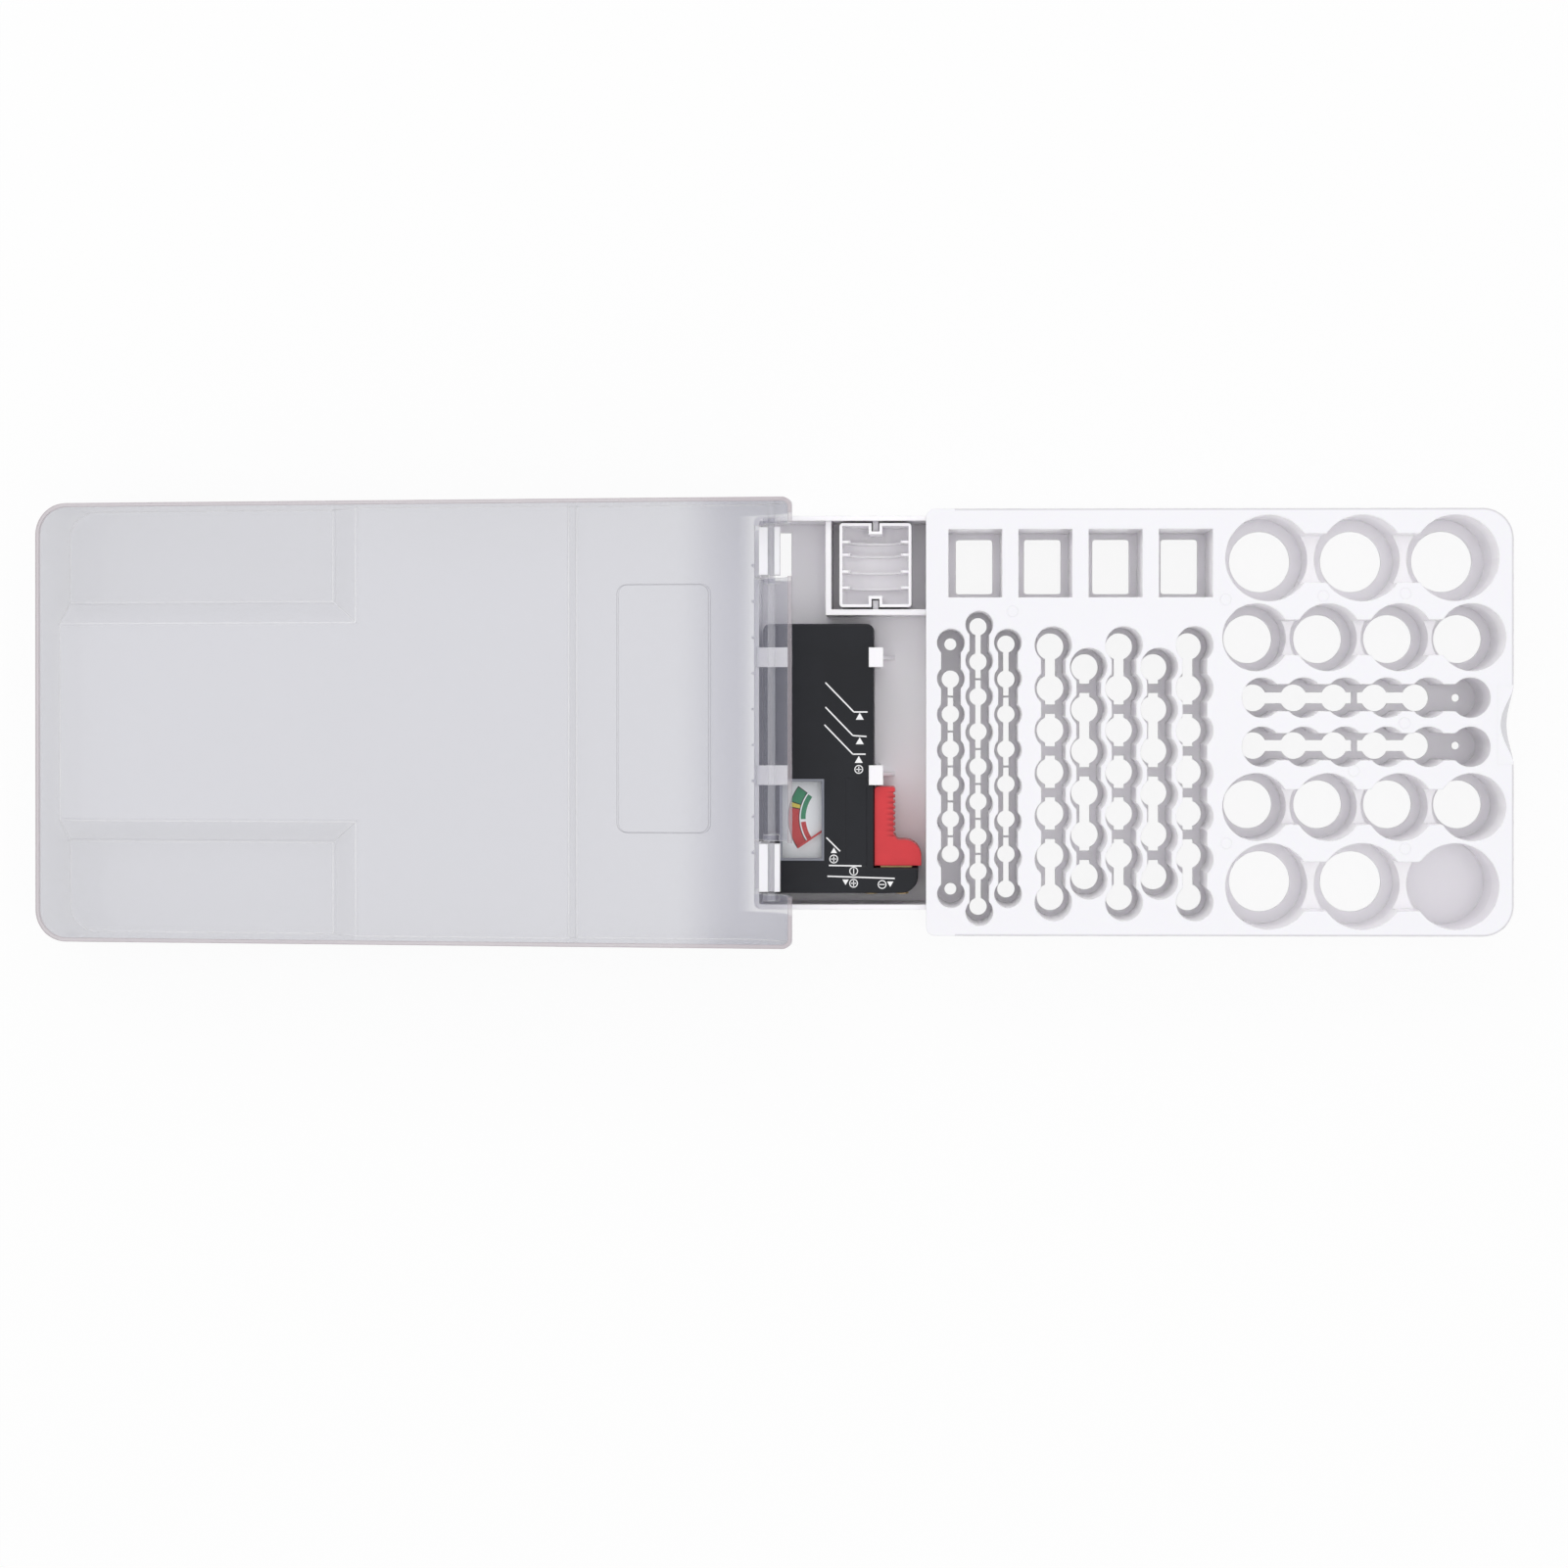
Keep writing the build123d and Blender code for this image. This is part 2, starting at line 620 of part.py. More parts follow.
# ---- battery tester ----
def tester_outline(inset=0.0):
    """Plan of the tester: a long body with a foot at its front right."""
    left, right = tester_left + inset, tester_right - inset
    front, back = tester_front + inset, tester_back - inset
    toe = tester_right + foot_reach - inset
    step = foot_back - inset
    with Locations(((left + right) / 2, (front + back) / 2)):
        Rectangle(right - left, back - front)
    with Locations(((left + toe) / 2, (front + step) / 2)):
        Rectangle(toe - left, step - front)
    near_left = vertices().filter_by(lambda v: v.X < left + 0.01)
    fillet(near_left, tester_corner - inset)
    fillet(vertices().filter_by(at_corner(right, back)), tester_corner - inset)
    fillet(vertices().filter_by(at_corner(toe, front)), foot_corner - inset)


boss_places = [
    (x, y)
    for x in (tester_left + boss_inset, tester_right - boss_inset)
    for y in (tester_back - boss_inset, tester_front + boss_inset)
]
slot_front = foot_back + slider_gap
split_z = tester_bottom + tester_split
slot_low, slot_high = tester_bottom + slot_bottom, tester_bottom + slot_bottom + slot_height
board_middle_x = (tester_left + tester_right) / 2


def slider_slot():
    """Slot in the tester's right wall in which the slider's tongue runs."""
    box_between(
        (tester_right - tester_wall - 1, slot_front, slot_low),
        (tester_right + 1, slot_back, slot_high),
        mode=Mode.SUBTRACT,
    )


with BuildPart() as tester_base_shell:
    with BuildSketch(Plane.XY.offset(tester_bottom)):
        tester_outline()
    extrude(amount=tester_split)
    with BuildSketch(Plane.XY.offset(inner_floor)):
        tester_outline(tester_wall)
    extrude(amount=tester_split - tester_wall, mode=Mode.SUBTRACT)
    with BuildSketch(Plane.XY.offset(tester_bottom + tester_wall / 2)):
        with Locations(*boss_places):
            Circle(boss_diameter / 2)
    extrude(amount=tester_split - tester_wall / 2)
    with BuildSketch(Plane.XY.offset(tester_bottom)):
        with Locations(*boss_places):
            Circle(screw_head / 2 + running_gap)
    extrude(amount=screw_head_height + running_gap, mode=Mode.SUBTRACT)
    with BuildSketch(Plane.XY.offset(tester_bottom)):
        with Locations(*boss_places):
            Circle(screw_diameter / 2 + running_gap)
    extrude(amount=tester_split, mode=Mode.SUBTRACT)
    pillar_x, pillar_y = board_x / 2 - pillar_inset, board_y / 2 - pillar_inset
    with BuildSketch(Plane.XY.offset(tester_bottom + tester_wall / 2)):
        with Locations((board_middle_x, board_middle_y)):
            with GridLocations(2 * pillar_x, 2 * pillar_y, 2, 2):
                Circle(pillar_radius)
    extrude(amount=pillar_height + tester_wall / 2)
    slider_slot()
tester_base_shell.part.label = "tester_base_shell"
export_step(tester_base_shell.part, "parts/tester_base_shell.step")

with BuildPart() as tester_top_shell:
    with BuildSketch(Plane.XY.offset(split_z)):
        tester_outline()
    extrude(amount=tester_top - split_z)
    fillet(faces().sort_by(Axis.Z)[-1].edges(), tester_edge)
    with BuildSketch(Plane.XY.offset(split_z)):
        tester_outline(tester_wall)
    extrude(amount=inner_roof - split_z, mode=Mode.SUBTRACT)
    with BuildSketch(Plane.XY.offset(split_z)):
        with Locations(*boss_places):
            Circle(boss_diameter / 2)
    extrude(amount=tester_height - tester_split - tester_wall / 2)
    with BuildSketch(Plane.XY.offset(split_z)):
        with Locations(*boss_places):
            Circle(screw_diameter / 2 + seat_gap)
    reach = screw_head_height + screw_length + screw_end_room - tester_split
    extrude(amount=reach, mode=Mode.SUBTRACT)
    with BuildSketch(Plane.XY.offset(inner_roof)):
        with Locations((window_centre_x, window_centre_y)):
            Rectangle(window_x, window_y)
    extrude(amount=tester_wall, mode=Mode.SUBTRACT)
    slider_slot()
tester_top_shell.part.label = "tester_top_shell"
export_step(tester_top_shell.part, "parts/tester_top_shell.step")

with BuildPart() as tester_screws:
    with BuildSketch(Plane.XY.offset(tester_bottom)):
        with Locations(*boss_places):
            Circle(screw_head / 2)
    extrude(amount=screw_head_height)
    with BuildSketch(Plane.XY.offset(tester_bottom)):
        with Locations(*boss_places):
            Circle(screw_diameter / 2)
    extrude(amount=screw_head_height + screw_length)
tester_screws.part.label = "tester_screws"
export_step(tester_screws.part, "parts/tester_screws.step")

# ---- slider with its tongue, and the two facing contacts ----
slider_left = tester_right + slider_gap
slider_right = slider_left + slider_neck
slider_front = foot_back + contact_thickness + slider_gap
slider_toe = slider_left + slider_foot
slider_step = slider_front + slider_foot_width
slider_low, slider_high = tester_bottom + slider_bottom, tester_bottom + slider_bottom + slider_height
contact_left = slider_left + contact_inset
contact_low = slider_low + (slider_height - contact_height) / 2
with BuildPart() as tester_slider:
    with BuildSketch(Plane.XY.offset(slider_low)):
        with Locations(((slider_left + slider_right) / 2, (slider_front + slider_back) / 2)):
            Rectangle(slider_neck, slider_back - slider_front)
        with Locations(((slider_left + slider_toe) / 2, (slider_front + slider_step) / 2)):
            Rectangle(slider_foot, slider_foot_width)
        fillet(vertices().filter_by(at_corner(slider_toe, slider_step)), slider_corner)
        fillet(vertices().filter_by(at_corner(slider_right, slider_step)), slider_inner_round)
        fillet(vertices().group_by(Axis.Y)[-1], slider_end_round)
        ridge_middle = (slider_back + slider_step) / 2
        with Locations(*[(slider_right, y) for y in run_of(ridge_count, ridge_pitch, ridge_middle)]):
            Circle(ridge_radius, mode=Mode.SUBTRACT)
    extrude(amount=slider_height)
    tongue_front = slider_front + slider_foot_width / 2
    box_between(
        (tester_right - tester_wall - 2 * slider_gap, tongue_front, slot_low + slider_gap),
        (slider_left + 1, tongue_front + tongue_length, slot_high - slider_gap),
    )
    head_right = tester_right - tester_wall - slider_gap
    box_between(
        (head_right - tongue_head, tongue_front, slot_low - slider_gap - tongue_lip),
        (head_right, tongue_front + tongue_length, slot_high + slider_gap + tongue_lip),
    )
    box_between(
        (contact_left, slider_front, contact_low),
        (contact_left + contact_length, slider_front + contact_thickness, contact_low + contact_height),
        mode=Mode.SUBTRACT,
    )
tester_slider.part.label = "tester_slider"
export_step(tester_slider.part, "parts/tester_slider.step")


def contact_plate(y):
    """A flat contact strip standing across the cell's end, with its front at Y = y."""
    box_between(
        (contact_left, y, contact_low),
        (contact_left + contact_length, y + contact_thickness, contact_low + contact_height),
    )


with BuildPart() as slider_contact:
    contact_plate(slider_front)
slider_contact.part.label = "slider_contact"
export_step(slider_contact.part, "parts/slider_contact.step")

with BuildPart() as foot_contact:
    contact_plate(foot_back)
foot_contact.part.label = "foot_contact"
export_step(foot_contact.part, "parts/foot_contact.step")

with BuildPart() as nine_volt_contacts:
    pin_z = (tester_bottom + tester_top) / 2
    places = [(nine_pin_x + side * nine_pin_pitch / 2, pin_z) for side in (-1, 1)]
    with BuildSketch(across(tester_front)):
        with Locations(*places):
            Circle(nine_pin_diameter / 2)
    extrude(amount=nine_pin_stand)
nine_volt_contacts.part.label = "nine_volt_contacts"
export_step(nine_volt_contacts.part, "parts/nine_volt_contacts.step")

# ---- meter: frame, iron ring, core, moving coil, needle, dial and window ----
frame_top = inner_floor + frame_plate
ring_low = frame_top + ring_stand
ring_high = ring_low + ring_height
core_middle = (ring_low + ring_high) / 2
bridge_low = inner_floor + bridge_height
coil_low, coil_high = core_middle - coil_height / 2, core_middle + coil_height / 2
dial_low = bridge_low + bridge_thickness
lens_high = inner_roof
lens_low = lens_high - lens_thickness
needle_low = (dial_low + dial_thickness + lens_low) / 2 - needle_thickness / 2
half_frame = frame_y / 2

with BuildPart() as meter_frame:
    with Locations((pivot_x, pivot_y, inner_floor)):
        Box(frame_x, frame_y, frame_plate, align=(Align.CENTER, Align.CENTER, Align.MIN))
    for side in (1, -1):
        y = pivot_y + side * (half_frame - frame_pillar / 2)
        with Locations((pivot_x, y, inner_floor)):
            Box(bridge_width, frame_pillar, bridge_height + bridge_thickness,
                align=(Align.CENTER, Align.CENTER, Align.MIN))
        x = pivot_x + side * (ring_outer + ring_inner) / 4
        with Locations((x, pivot_y, inner_floor)):
            foot_x = (ring_outer - ring_inner) / 2 - 2 * ring_foot_inset
            Box(foot_x, ring_foot, ring_low - inner_floor, align=(Align.CENTER, Align.CENTER, Align.MIN))
    with Locations((pivot_x, pivot_y, bridge_low)):
        Box(bridge_width, frame_y, bridge_thickness, align=(Align.CENTER, Align.CENTER, Align.MIN))
    with BuildSketch(Plane.XY.offset(inner_floor)):
        with Locations((pivot_x, pivot_y)):
            Circle(staff_diameter / 2 + running_gap)
    extrude(amount=bridge_height + bridge_thickness, mode=Mode.SUBTRACT)
meter_frame.part.label = "meter_frame"
export_step(meter_frame.part, "parts/meter_frame.step")

with BuildPart() as meter_ring:
    with BuildSketch(Plane.XY.offset(ring_low)):
        with Locations((pivot_x, pivot_y)):
            Circle(ring_outer / 2)
            Circle(ring_inner / 2, mode=Mode.SUBTRACT)
    extrude(amount=ring_height)
meter_ring.part.label = "meter_ring"
export_step(meter_ring.part, "parts/meter_ring.step")

with BuildPart() as meter_core:
    with BuildSketch(Plane.XY.offset(core_middle - core_height / 2)):
        with Locations((pivot_x, pivot_y)):
            Circle(core_diameter / 2)
    extrude(amount=core_height)
    with BuildSketch(Plane.XY.offset(core_middle - core_arm / 2)):
        with Locations((pivot_x, pivot_y)):
            Rectangle(ring_outer, core_arm)
            Circle(ring_inner / 2, mode=Mode.INTERSECT)
    extrude(amount=core_arm)
meter_core.part.label = "meter_core"
export_step(meter_core.part, "parts/meter_core.step")

with BuildPart() as meter_coil:
    with BuildSketch(Plane.YZ.offset(pivot_x - coil_depth / 2)):
        with Locations((pivot_y, core_middle)):
            Rectangle(coil_width, coil_height)
            Rectangle(coil_width - 2 * coil_bar, coil_height - 2 * coil_bar, mode=Mode.SUBTRACT)
    extrude(amount=coil_depth)
    with BuildSketch(Plane.XY.offset(coil_high - coil_bar / 2)):
        with Locations((pivot_x, pivot_y)):
            Circle(staff_diameter / 2)
    extrude(amount=needle_low - coil_high + coil_bar / 2)
    with BuildSketch(Plane.XY.offset(inner_floor)):
        with Locations((pivot_x, pivot_y)):
            Circle(staff_diameter / 2)
    extrude(amount=coil_low + coil_bar / 2 - inner_floor)
meter_coil.part.label = "meter_coil"
export_step(meter_coil.part, "parts/meter_coil.step")

with BuildPart() as meter_needle:
    with BuildSketch(Plane.XY.offset(needle_low)):
        with Locations((pivot_x, pivot_y)):
            Circle(hub_diameter / 2)
            with Locations(Location((0, 0), needle_angle)):
                with Locations(((needle_length - needle_tail) / 2, 0)):
                    Rectangle(needle_length + needle_tail, needle_width)
    extrude(amount=needle_thickness)
meter_needle.part.label = "meter_needle"
export_step(meter_needle.part, "parts/meter_needle.step")

with BuildPart() as meter_dial:
    dial_middle_x = window_centre_x - window_x / 2 - lens_margin + dial_x / 2
    with BuildSketch(Plane.XY.offset(dial_low)):
        with Locations((dial_middle_x, window_centre_y)):
            Rectangle(dial_x, dial_y)
        with Locations((pivot_x, pivot_y)):
            Circle(dial_hole / 2, mode=Mode.SUBTRACT)
    extrude(amount=dial_thickness)
meter_dial.part.label = "meter_dial"
export_step(meter_dial.part, "parts/meter_dial.step")

with BuildPart() as meter_window:
    with BuildSketch(Plane.XY.offset(lens_low)):
        with Locations((window_centre_x, window_centre_y)):
            Rectangle(window_x + 2 * lens_margin, window_y + 2 * lens_margin)
    extrude(amount=lens_thickness)
meter_window.part.label = "meter_window"
export_step(meter_window.part, "parts/meter_window.step")

# ---- load board ----
board_low = inner_floor + pillar_height
board_high = board_low + board_thickness
with BuildPart() as circuit_board:
    with Locations((board_middle_x, board_middle_y, board_low)):
        Box(board_x, board_y, board_thickness, align=(Align.CENTER, Align.CENTER, Align.MIN))
circuit_board.part.label = "circuit_board"
export_step(circuit_board.part, "parts/circuit_board.step")

with BuildPart() as load_resistors:
    with BuildSketch(Plane.YZ.offset(board_middle_x - resistor_length / 2)):
        z = board_high + resistor_diameter / 2
        with Locations(*[(y, z) for y in run_of(resistor_count, resistor_pitch, board_middle_y)]):
            Circle(resistor_diameter / 2)
    extrude(amount=resistor_length)
load_resistors.part.label = "load_resistors"
export_step(load_resistors.part, "parts/load_resistors.step")
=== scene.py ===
import math

import bpy
import numpy as np
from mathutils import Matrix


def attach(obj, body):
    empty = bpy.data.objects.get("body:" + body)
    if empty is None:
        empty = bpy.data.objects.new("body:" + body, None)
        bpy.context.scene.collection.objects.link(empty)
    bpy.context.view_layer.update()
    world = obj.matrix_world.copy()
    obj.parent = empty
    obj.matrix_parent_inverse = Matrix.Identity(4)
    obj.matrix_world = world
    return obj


# Battery storage case: a tray of cell wells with its clear cover laid open, a caddy and a tester.
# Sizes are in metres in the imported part's frame, and objects sit at the origin.

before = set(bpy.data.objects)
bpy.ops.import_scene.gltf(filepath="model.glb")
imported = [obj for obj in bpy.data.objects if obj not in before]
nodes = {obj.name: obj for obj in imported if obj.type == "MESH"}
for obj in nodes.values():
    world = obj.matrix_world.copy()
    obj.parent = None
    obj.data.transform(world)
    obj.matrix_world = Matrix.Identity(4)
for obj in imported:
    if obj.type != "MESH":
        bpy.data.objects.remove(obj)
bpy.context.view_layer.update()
print("frame loaded", len(nodes), "nodes")

mm = 0.001


# A value in a material. Arithmetic on it adds Math nodes, and make adds any other node.
class Value:
    def __init__(self, tree, socket):
        self.tree = tree
        self.socket = socket

    def make(self, kind, inputs, output=0, **settings):
        node = self.tree.nodes.new(kind)
        for key, setting in settings.items():
            setattr(node, key, setting)
        for key, value in inputs.items():
            if isinstance(value, Value):
                self.tree.links.new(value.socket, node.inputs[key])
            else:
                node.inputs[key].default_value = value
        return Value(self.tree, node.outputs[output])

    def math(self, operation, *values):
        return self.make("ShaderNodeMath", dict(enumerate(values)), operation=operation)

    def __add__(self, other):
        return self.math("ADD", self, other)

    def __radd__(self, other):
        return self.math("ADD", other, self)

    def __sub__(self, other):
        return self.math("SUBTRACT", self, other)

    def __rsub__(self, other):
        return self.math("SUBTRACT", other, self)

    def __mul__(self, other):
        return self.math("MULTIPLY", self, other)

    def __rmul__(self, other):
        return self.math("MULTIPLY", other, self)

    def __abs__(self):
        return self.math("ABSOLUTE", self)

    def least(self, other):
        return self.math("MINIMUM", self, other)

    def most(self, other):
        return self.math("MAXIMUM", self, other)

    # 0 below low, 1 above high, smooth in between
    def ramp(self, low, high):
        inputs = {"Value": self, "From Min": low, "From Max": high}
        return self.make("ShaderNodeMapRange", inputs, interpolation_type="SMOOTHSTEP")

    # 1 inside the band from low to high, with soft edges
    def band(self, low, high, soft):
        return self.ramp(low - soft, low + soft) * (1 - self.ramp(high - soft, high + soft))


# Parts of a point: x, y and z
def split(point):
    return [point.make("ShaderNodeSeparateXYZ", {"Vector": point}, i) for i in range(3)]


# Straight distance from its two parts
def distance(across, along):
    return across.math("SQRT", across * across + along * along)


# How far outside a rectangle with rounded corners a point lies, plus the corner's radius
def awayFrom(x, y, look):
    across = (abs(x - look["middle"][0]) - (look["half"][0] - look["round"])).most(0.0)
    along = (abs(y - look["middle"][1]) - (look["half"][1] - look["round"])).most(0.0)
    return distance(across, along)


def newMaterial(name):
    material = bpy.data.materials.new(name)
    material.use_nodes = True
    tree = material.node_tree
    point = Value(tree, None).make("ShaderNodeTexCoord", {}, "Object")
    return material, tree, tree.nodes["Principled BSDF"], point


def join(tree, value, socket):
    tree.links.new(value.socket, socket)


def mixColour(point, factor, below, above):
    inputs = {0: factor, 6: below, 7: above}
    return point.make("ShaderNodeMix", inputs, 2, data_type="RGBA")


def noise(point, scale, detail=2.0):
    inputs = {"Vector": point, "Scale": scale, "Detail": detail}
    return point.make("ShaderNodeTexNoise", inputs, 0)


# What the finishes share: where a cloud of noise turns from its low to its high tone, the samples
# of a rounded edge, how far light wanders under plastic, and where a clear plastic's painted edge
# highlight shows
finishLook = {
    "cloudSpan": (0.3, 0.7),
    "cloudDetail": 3.0,
    "edgeSamples": 4,
    "underRadius": (0.6, 0.5, 0.7),
    "underScale": 2.0 * mm,
    "clearLow": 0.97,
    "clearEdges": (0.003, 0.06),
}


# The surface's direction with its sharp edges rounded
def roundedEdges(point, radius):
    return point.make("ShaderNodeBevel", {"Radius": radius}, samples=finishLook["edgeSamples"])


# 1 where the rounded normal departs from the plain one, so along sharp edges only
def edgeMask(point, rounded, least=0.01, full=0.2):
    plain = point.make("ShaderNodeNewGeometry", {}, "Normal")
    both = {0: rounded, 1: plain}
    agree = point.make("ShaderNodeVectorMath", both, "Value", operation="DOT_PRODUCT")
    return (1 - agree).ramp(least, full)


# Uneven gloss, and fine ripple over the rounded edges. Extra height in metres may be given.
def finish(point, tree, shader, look, rounded, height=None):
    rough = noise(point, look["roughScale"]) * look["roughRange"] + look["rough"]
    join(tree, rough, shader.inputs["Roughness"])
    ripple = noise(point, look["rippleScale"]) * look["ripple"]
    if height:
        ripple = ripple + height(point)
    bump = point.make("ShaderNodeBump", {"Height": ripple, "Distance": 1.0, "Normal": rounded})
    join(tree, bump, shader.inputs["Normal"])


# Moulded plastic: a colour that wanders a little under an uneven gloss, with a painted highlight
# along its edges where the look has a tone for them. Extra height and extra colour may be given.
def moulded(name, look, height=None, paint=None):
    material, tree, shader, point = newMaterial(name)
    cloud = noise(point, look["cloudScale"], finishLook["cloudDetail"])
    low = [c * (1 - look["wander"]) for c in look["colour"]] + [1.0]
    high = [min(1.0, c * (1 + look["wander"])) for c in look["colour"]] + [1.0]
    colour = mixColour(point, cloud.ramp(*finishLook["cloudSpan"]), low, high)
    if paint:
        colour = paint(point, colour)
    rounded = roundedEdges(point, look["edge"])
    # Painted highlight: the edges mix towards a paler tone
    if "edgeHighlightTone" in look:
        edges = edgeMask(point, rounded) * look["edgeHighlightShare"]
        colour = mixColour(point, edges, colour, look["edgeHighlightTone"] + [1.0])
    join(tree, colour, shader.inputs["Base Color"])
    shader.inputs["IOR"].default_value = look["ior"]
    shader.inputs["Subsurface Weight"].default_value = look.get("subsurface", 0.0)
    shader.inputs["Subsurface Radius"].default_value = finishLook["underRadius"]
    shader.inputs["Subsurface Scale"].default_value = finishLook["underScale"]
    finish(point, tree, shader, look, rounded, height)
    return material


# Clear plastic: light goes straight through most of it, less at a slant, and its gloss stays. Its
# edges carry a painted highlight, a paler tone that stops more of the light. Extra paint gives a
# colour and how much of the light it stops.
def clear(name, look, paint=None):
    material, tree, shader, point = newMaterial(name)
    cloud = noise(point, look["cloudScale"]).ramp(*finishLook["cloudSpan"])
    low = [c * finishLook["clearLow"] for c in look["colour"]] + [1.0]
    tone = mixColour(point, cloud, low, look["colour"] + [1.0])
    shader.inputs["IOR"].default_value = look["ior"]
    rounded = roundedEdges(point, look["edge"])
    edges = edgeMask(point, rounded, *finishLook["clearEdges"])
    slant = point.make("ShaderNodeLayerWeight", {"Blend": 0.5}, "Facing")
    body = slant.math("POWER", slant, look["slantPower"])
    body = body * (look["edgeOn"] - look["faceOn"]) + look["faceOn"]
    # Painted highlight along the edges: more opaque, and paler below
    body = body + edges * look["edgeHighlightShare"]
    tone = mixColour(point, edges, tone, look["edgeHighlightTone"] + [1.0])
    if paint:
        tone, body = paint(point, tone, body)
    join(tree, tone, shader.inputs["Base Color"])
    join(tree, body.least(1.0), shader.inputs["Alpha"])
    finish(point, tree, shader, look, rounded)
    return material


scratchLook = {
    "detail": 3.0,
    "low": 0.85,
    "roughRange": 0.2,
    "height": 0.01 * mm,
    "edge": 0.1 * mm,
}


# Bare or plated metal with fine scratches, drawn out by the look's grain along X, Y and Z
def metal(name, look):
    material, tree, shader, point = newMaterial(name)
    x, y, z = split(point)
    grainX, grainY, grainZ = look["grain"]
    inputs = {"X": x * grainX, "Y": y * grainY, "Z": z * grainZ}
    stretched = point.make("ShaderNodeCombineXYZ", inputs)
    scratches = noise(stretched, 1.0, scratchLook["detail"])
    low = [c * scratchLook["low"] for c in look["colour"]] + [1.0]
    cloud = scratches.ramp(*finishLook["cloudSpan"])
    join(tree, mixColour(point, cloud, low, look["colour"] + [1.0]), shader.inputs["Base Color"])
    shader.inputs["Metallic"].default_value = 1.0
    rough = scratches * scratchLook["roughRange"] + look["rough"]
    join(tree, rough, shader.inputs["Roughness"])
    rounded = roundedEdges(point, scratchLook["edge"])
    height = scratches * scratchLook["height"]
    bump = point.make("ShaderNodeBump", {"Height": height, "Distance": 1.0, "Normal": rounded})
    join(tree, bump, shader.inputs["Normal"])
    return material


def dress(names, material):
    for name in names:
        slots = nodes[name].data.materials
        slots.clear()
        slots.append(material)


def newPiece(name, points, faces):
    mesh = bpy.data.meshes.new(name)
    mesh.from_pydata(points, [], faces)
    piece = bpy.data.objects.new(name, mesh)
    bpy.context.scene.collection.objects.link(piece)
    return piece


# Faces between rows of corners. Each row is a closed loop, and the last row may meet the first.
def netFaces(rows, corners, meet):
    row = np.arange(rows if meet else rows - 1)[:, None]
    corner = np.arange(corners)[None, :]
    start, below = row * corners, (row + 1) % rows * corners
    beside = (corner + 1) % corners
    net = np.stack([start + corner, start + beside, below + beside, below + corner], axis=-1)
    return net.reshape(-1, 4).tolist()


# Tray: deck, wells, skirt and bay in one white plastic
trayLook = {
    "colour": [0.885, 0.88, 0.918],
    # The paler inside colour is painted light, for the light that thin walls pass on
    "inside": [0.985, 0.968, 1.0, 1.0],
    "wander": 0.004,
    "cloudScale": 14.0,
    "rough": 0.22,
    "roughRange": 0.06,
    "roughScale": 60.0,
    "ior": 1.58,
    "subsurface": 0.1,
    "ripple": 0.02 * mm,
    "rippleScale": 180.0,
    "edge": 0.7 * mm,
    # Painted highlight on the rounded rims
    "edgeHighlightTone": [1.0, 1.0, 1.0],
    "edgeHighlightShare": 0.9,
}
ejectorMarks = {
    "places": [
        (184.6, 49.9), (224.2, 51.3), (257.6, 52.3), (257.2, -0.5),
        (236.6, -20.0), (184.8, -49.5), (257.4, -51.6), (97.8, 45.1),
    ],
    "radius": 2.4 * mm,
    "line": 0.35 * mm,
    "depth": 0.12 * mm,
    "deck": (34.1 * mm, 34.2 * mm),
}
# The pale span holds the wells and the bay, and the bank only the wells
wellLook = {
    "paleX": (-6.0 * mm, 299.4 * mm),
    "paleY": (-85.3 * mm, 85.3 * mm),
    "paleSoft": 0.3 * mm,
    "paleTop": (33.6 * mm, 34.2 * mm),
    "bankX": (66.0 * mm, 298.5 * mm),
    "bankY": (-85.0 * mm, 85.0 * mm),
    "lowest": 2.5 * mm,
    "halfDepth": 18.0 * mm,
    "lip": 29.5 * mm,
    "line": 0.35 * mm,
    "lineShade": 0.16,
    "lowShade": 0.04,
    "shadeTone": [0.2, 0.18, 0.2, 1.0],
}
# A painted shade line along the deck's outer edge
deckEdge = {
    "middle": (181.9 * mm, 0.0),
    "half": (119.5 * mm, 87.2 * mm),
    "round": 12.5 * mm,
    "line": 1.1 * mm,
    "nearEnd": 74.0 * mm,
    "above": 31.0 * mm,
    "shade": 0.45,
}


# Shallow rings in the deck where the ejector pins stood
def ejectorHeight(point):
    x, y, z = split(point)
    nearest = None
    for markX, markY in ejectorMarks["places"]:
        away = distance(x - markX * mm, y - markY * mm)
        nearest = away if nearest is None else nearest.least(away)
    radius, line = ejectorMarks["radius"], ejectorMarks["line"]
    ring = nearest.band(radius - line, radius, line / 2)
    return ring * z.ramp(*ejectorMarks["deck"]) * -ejectorMarks["depth"]


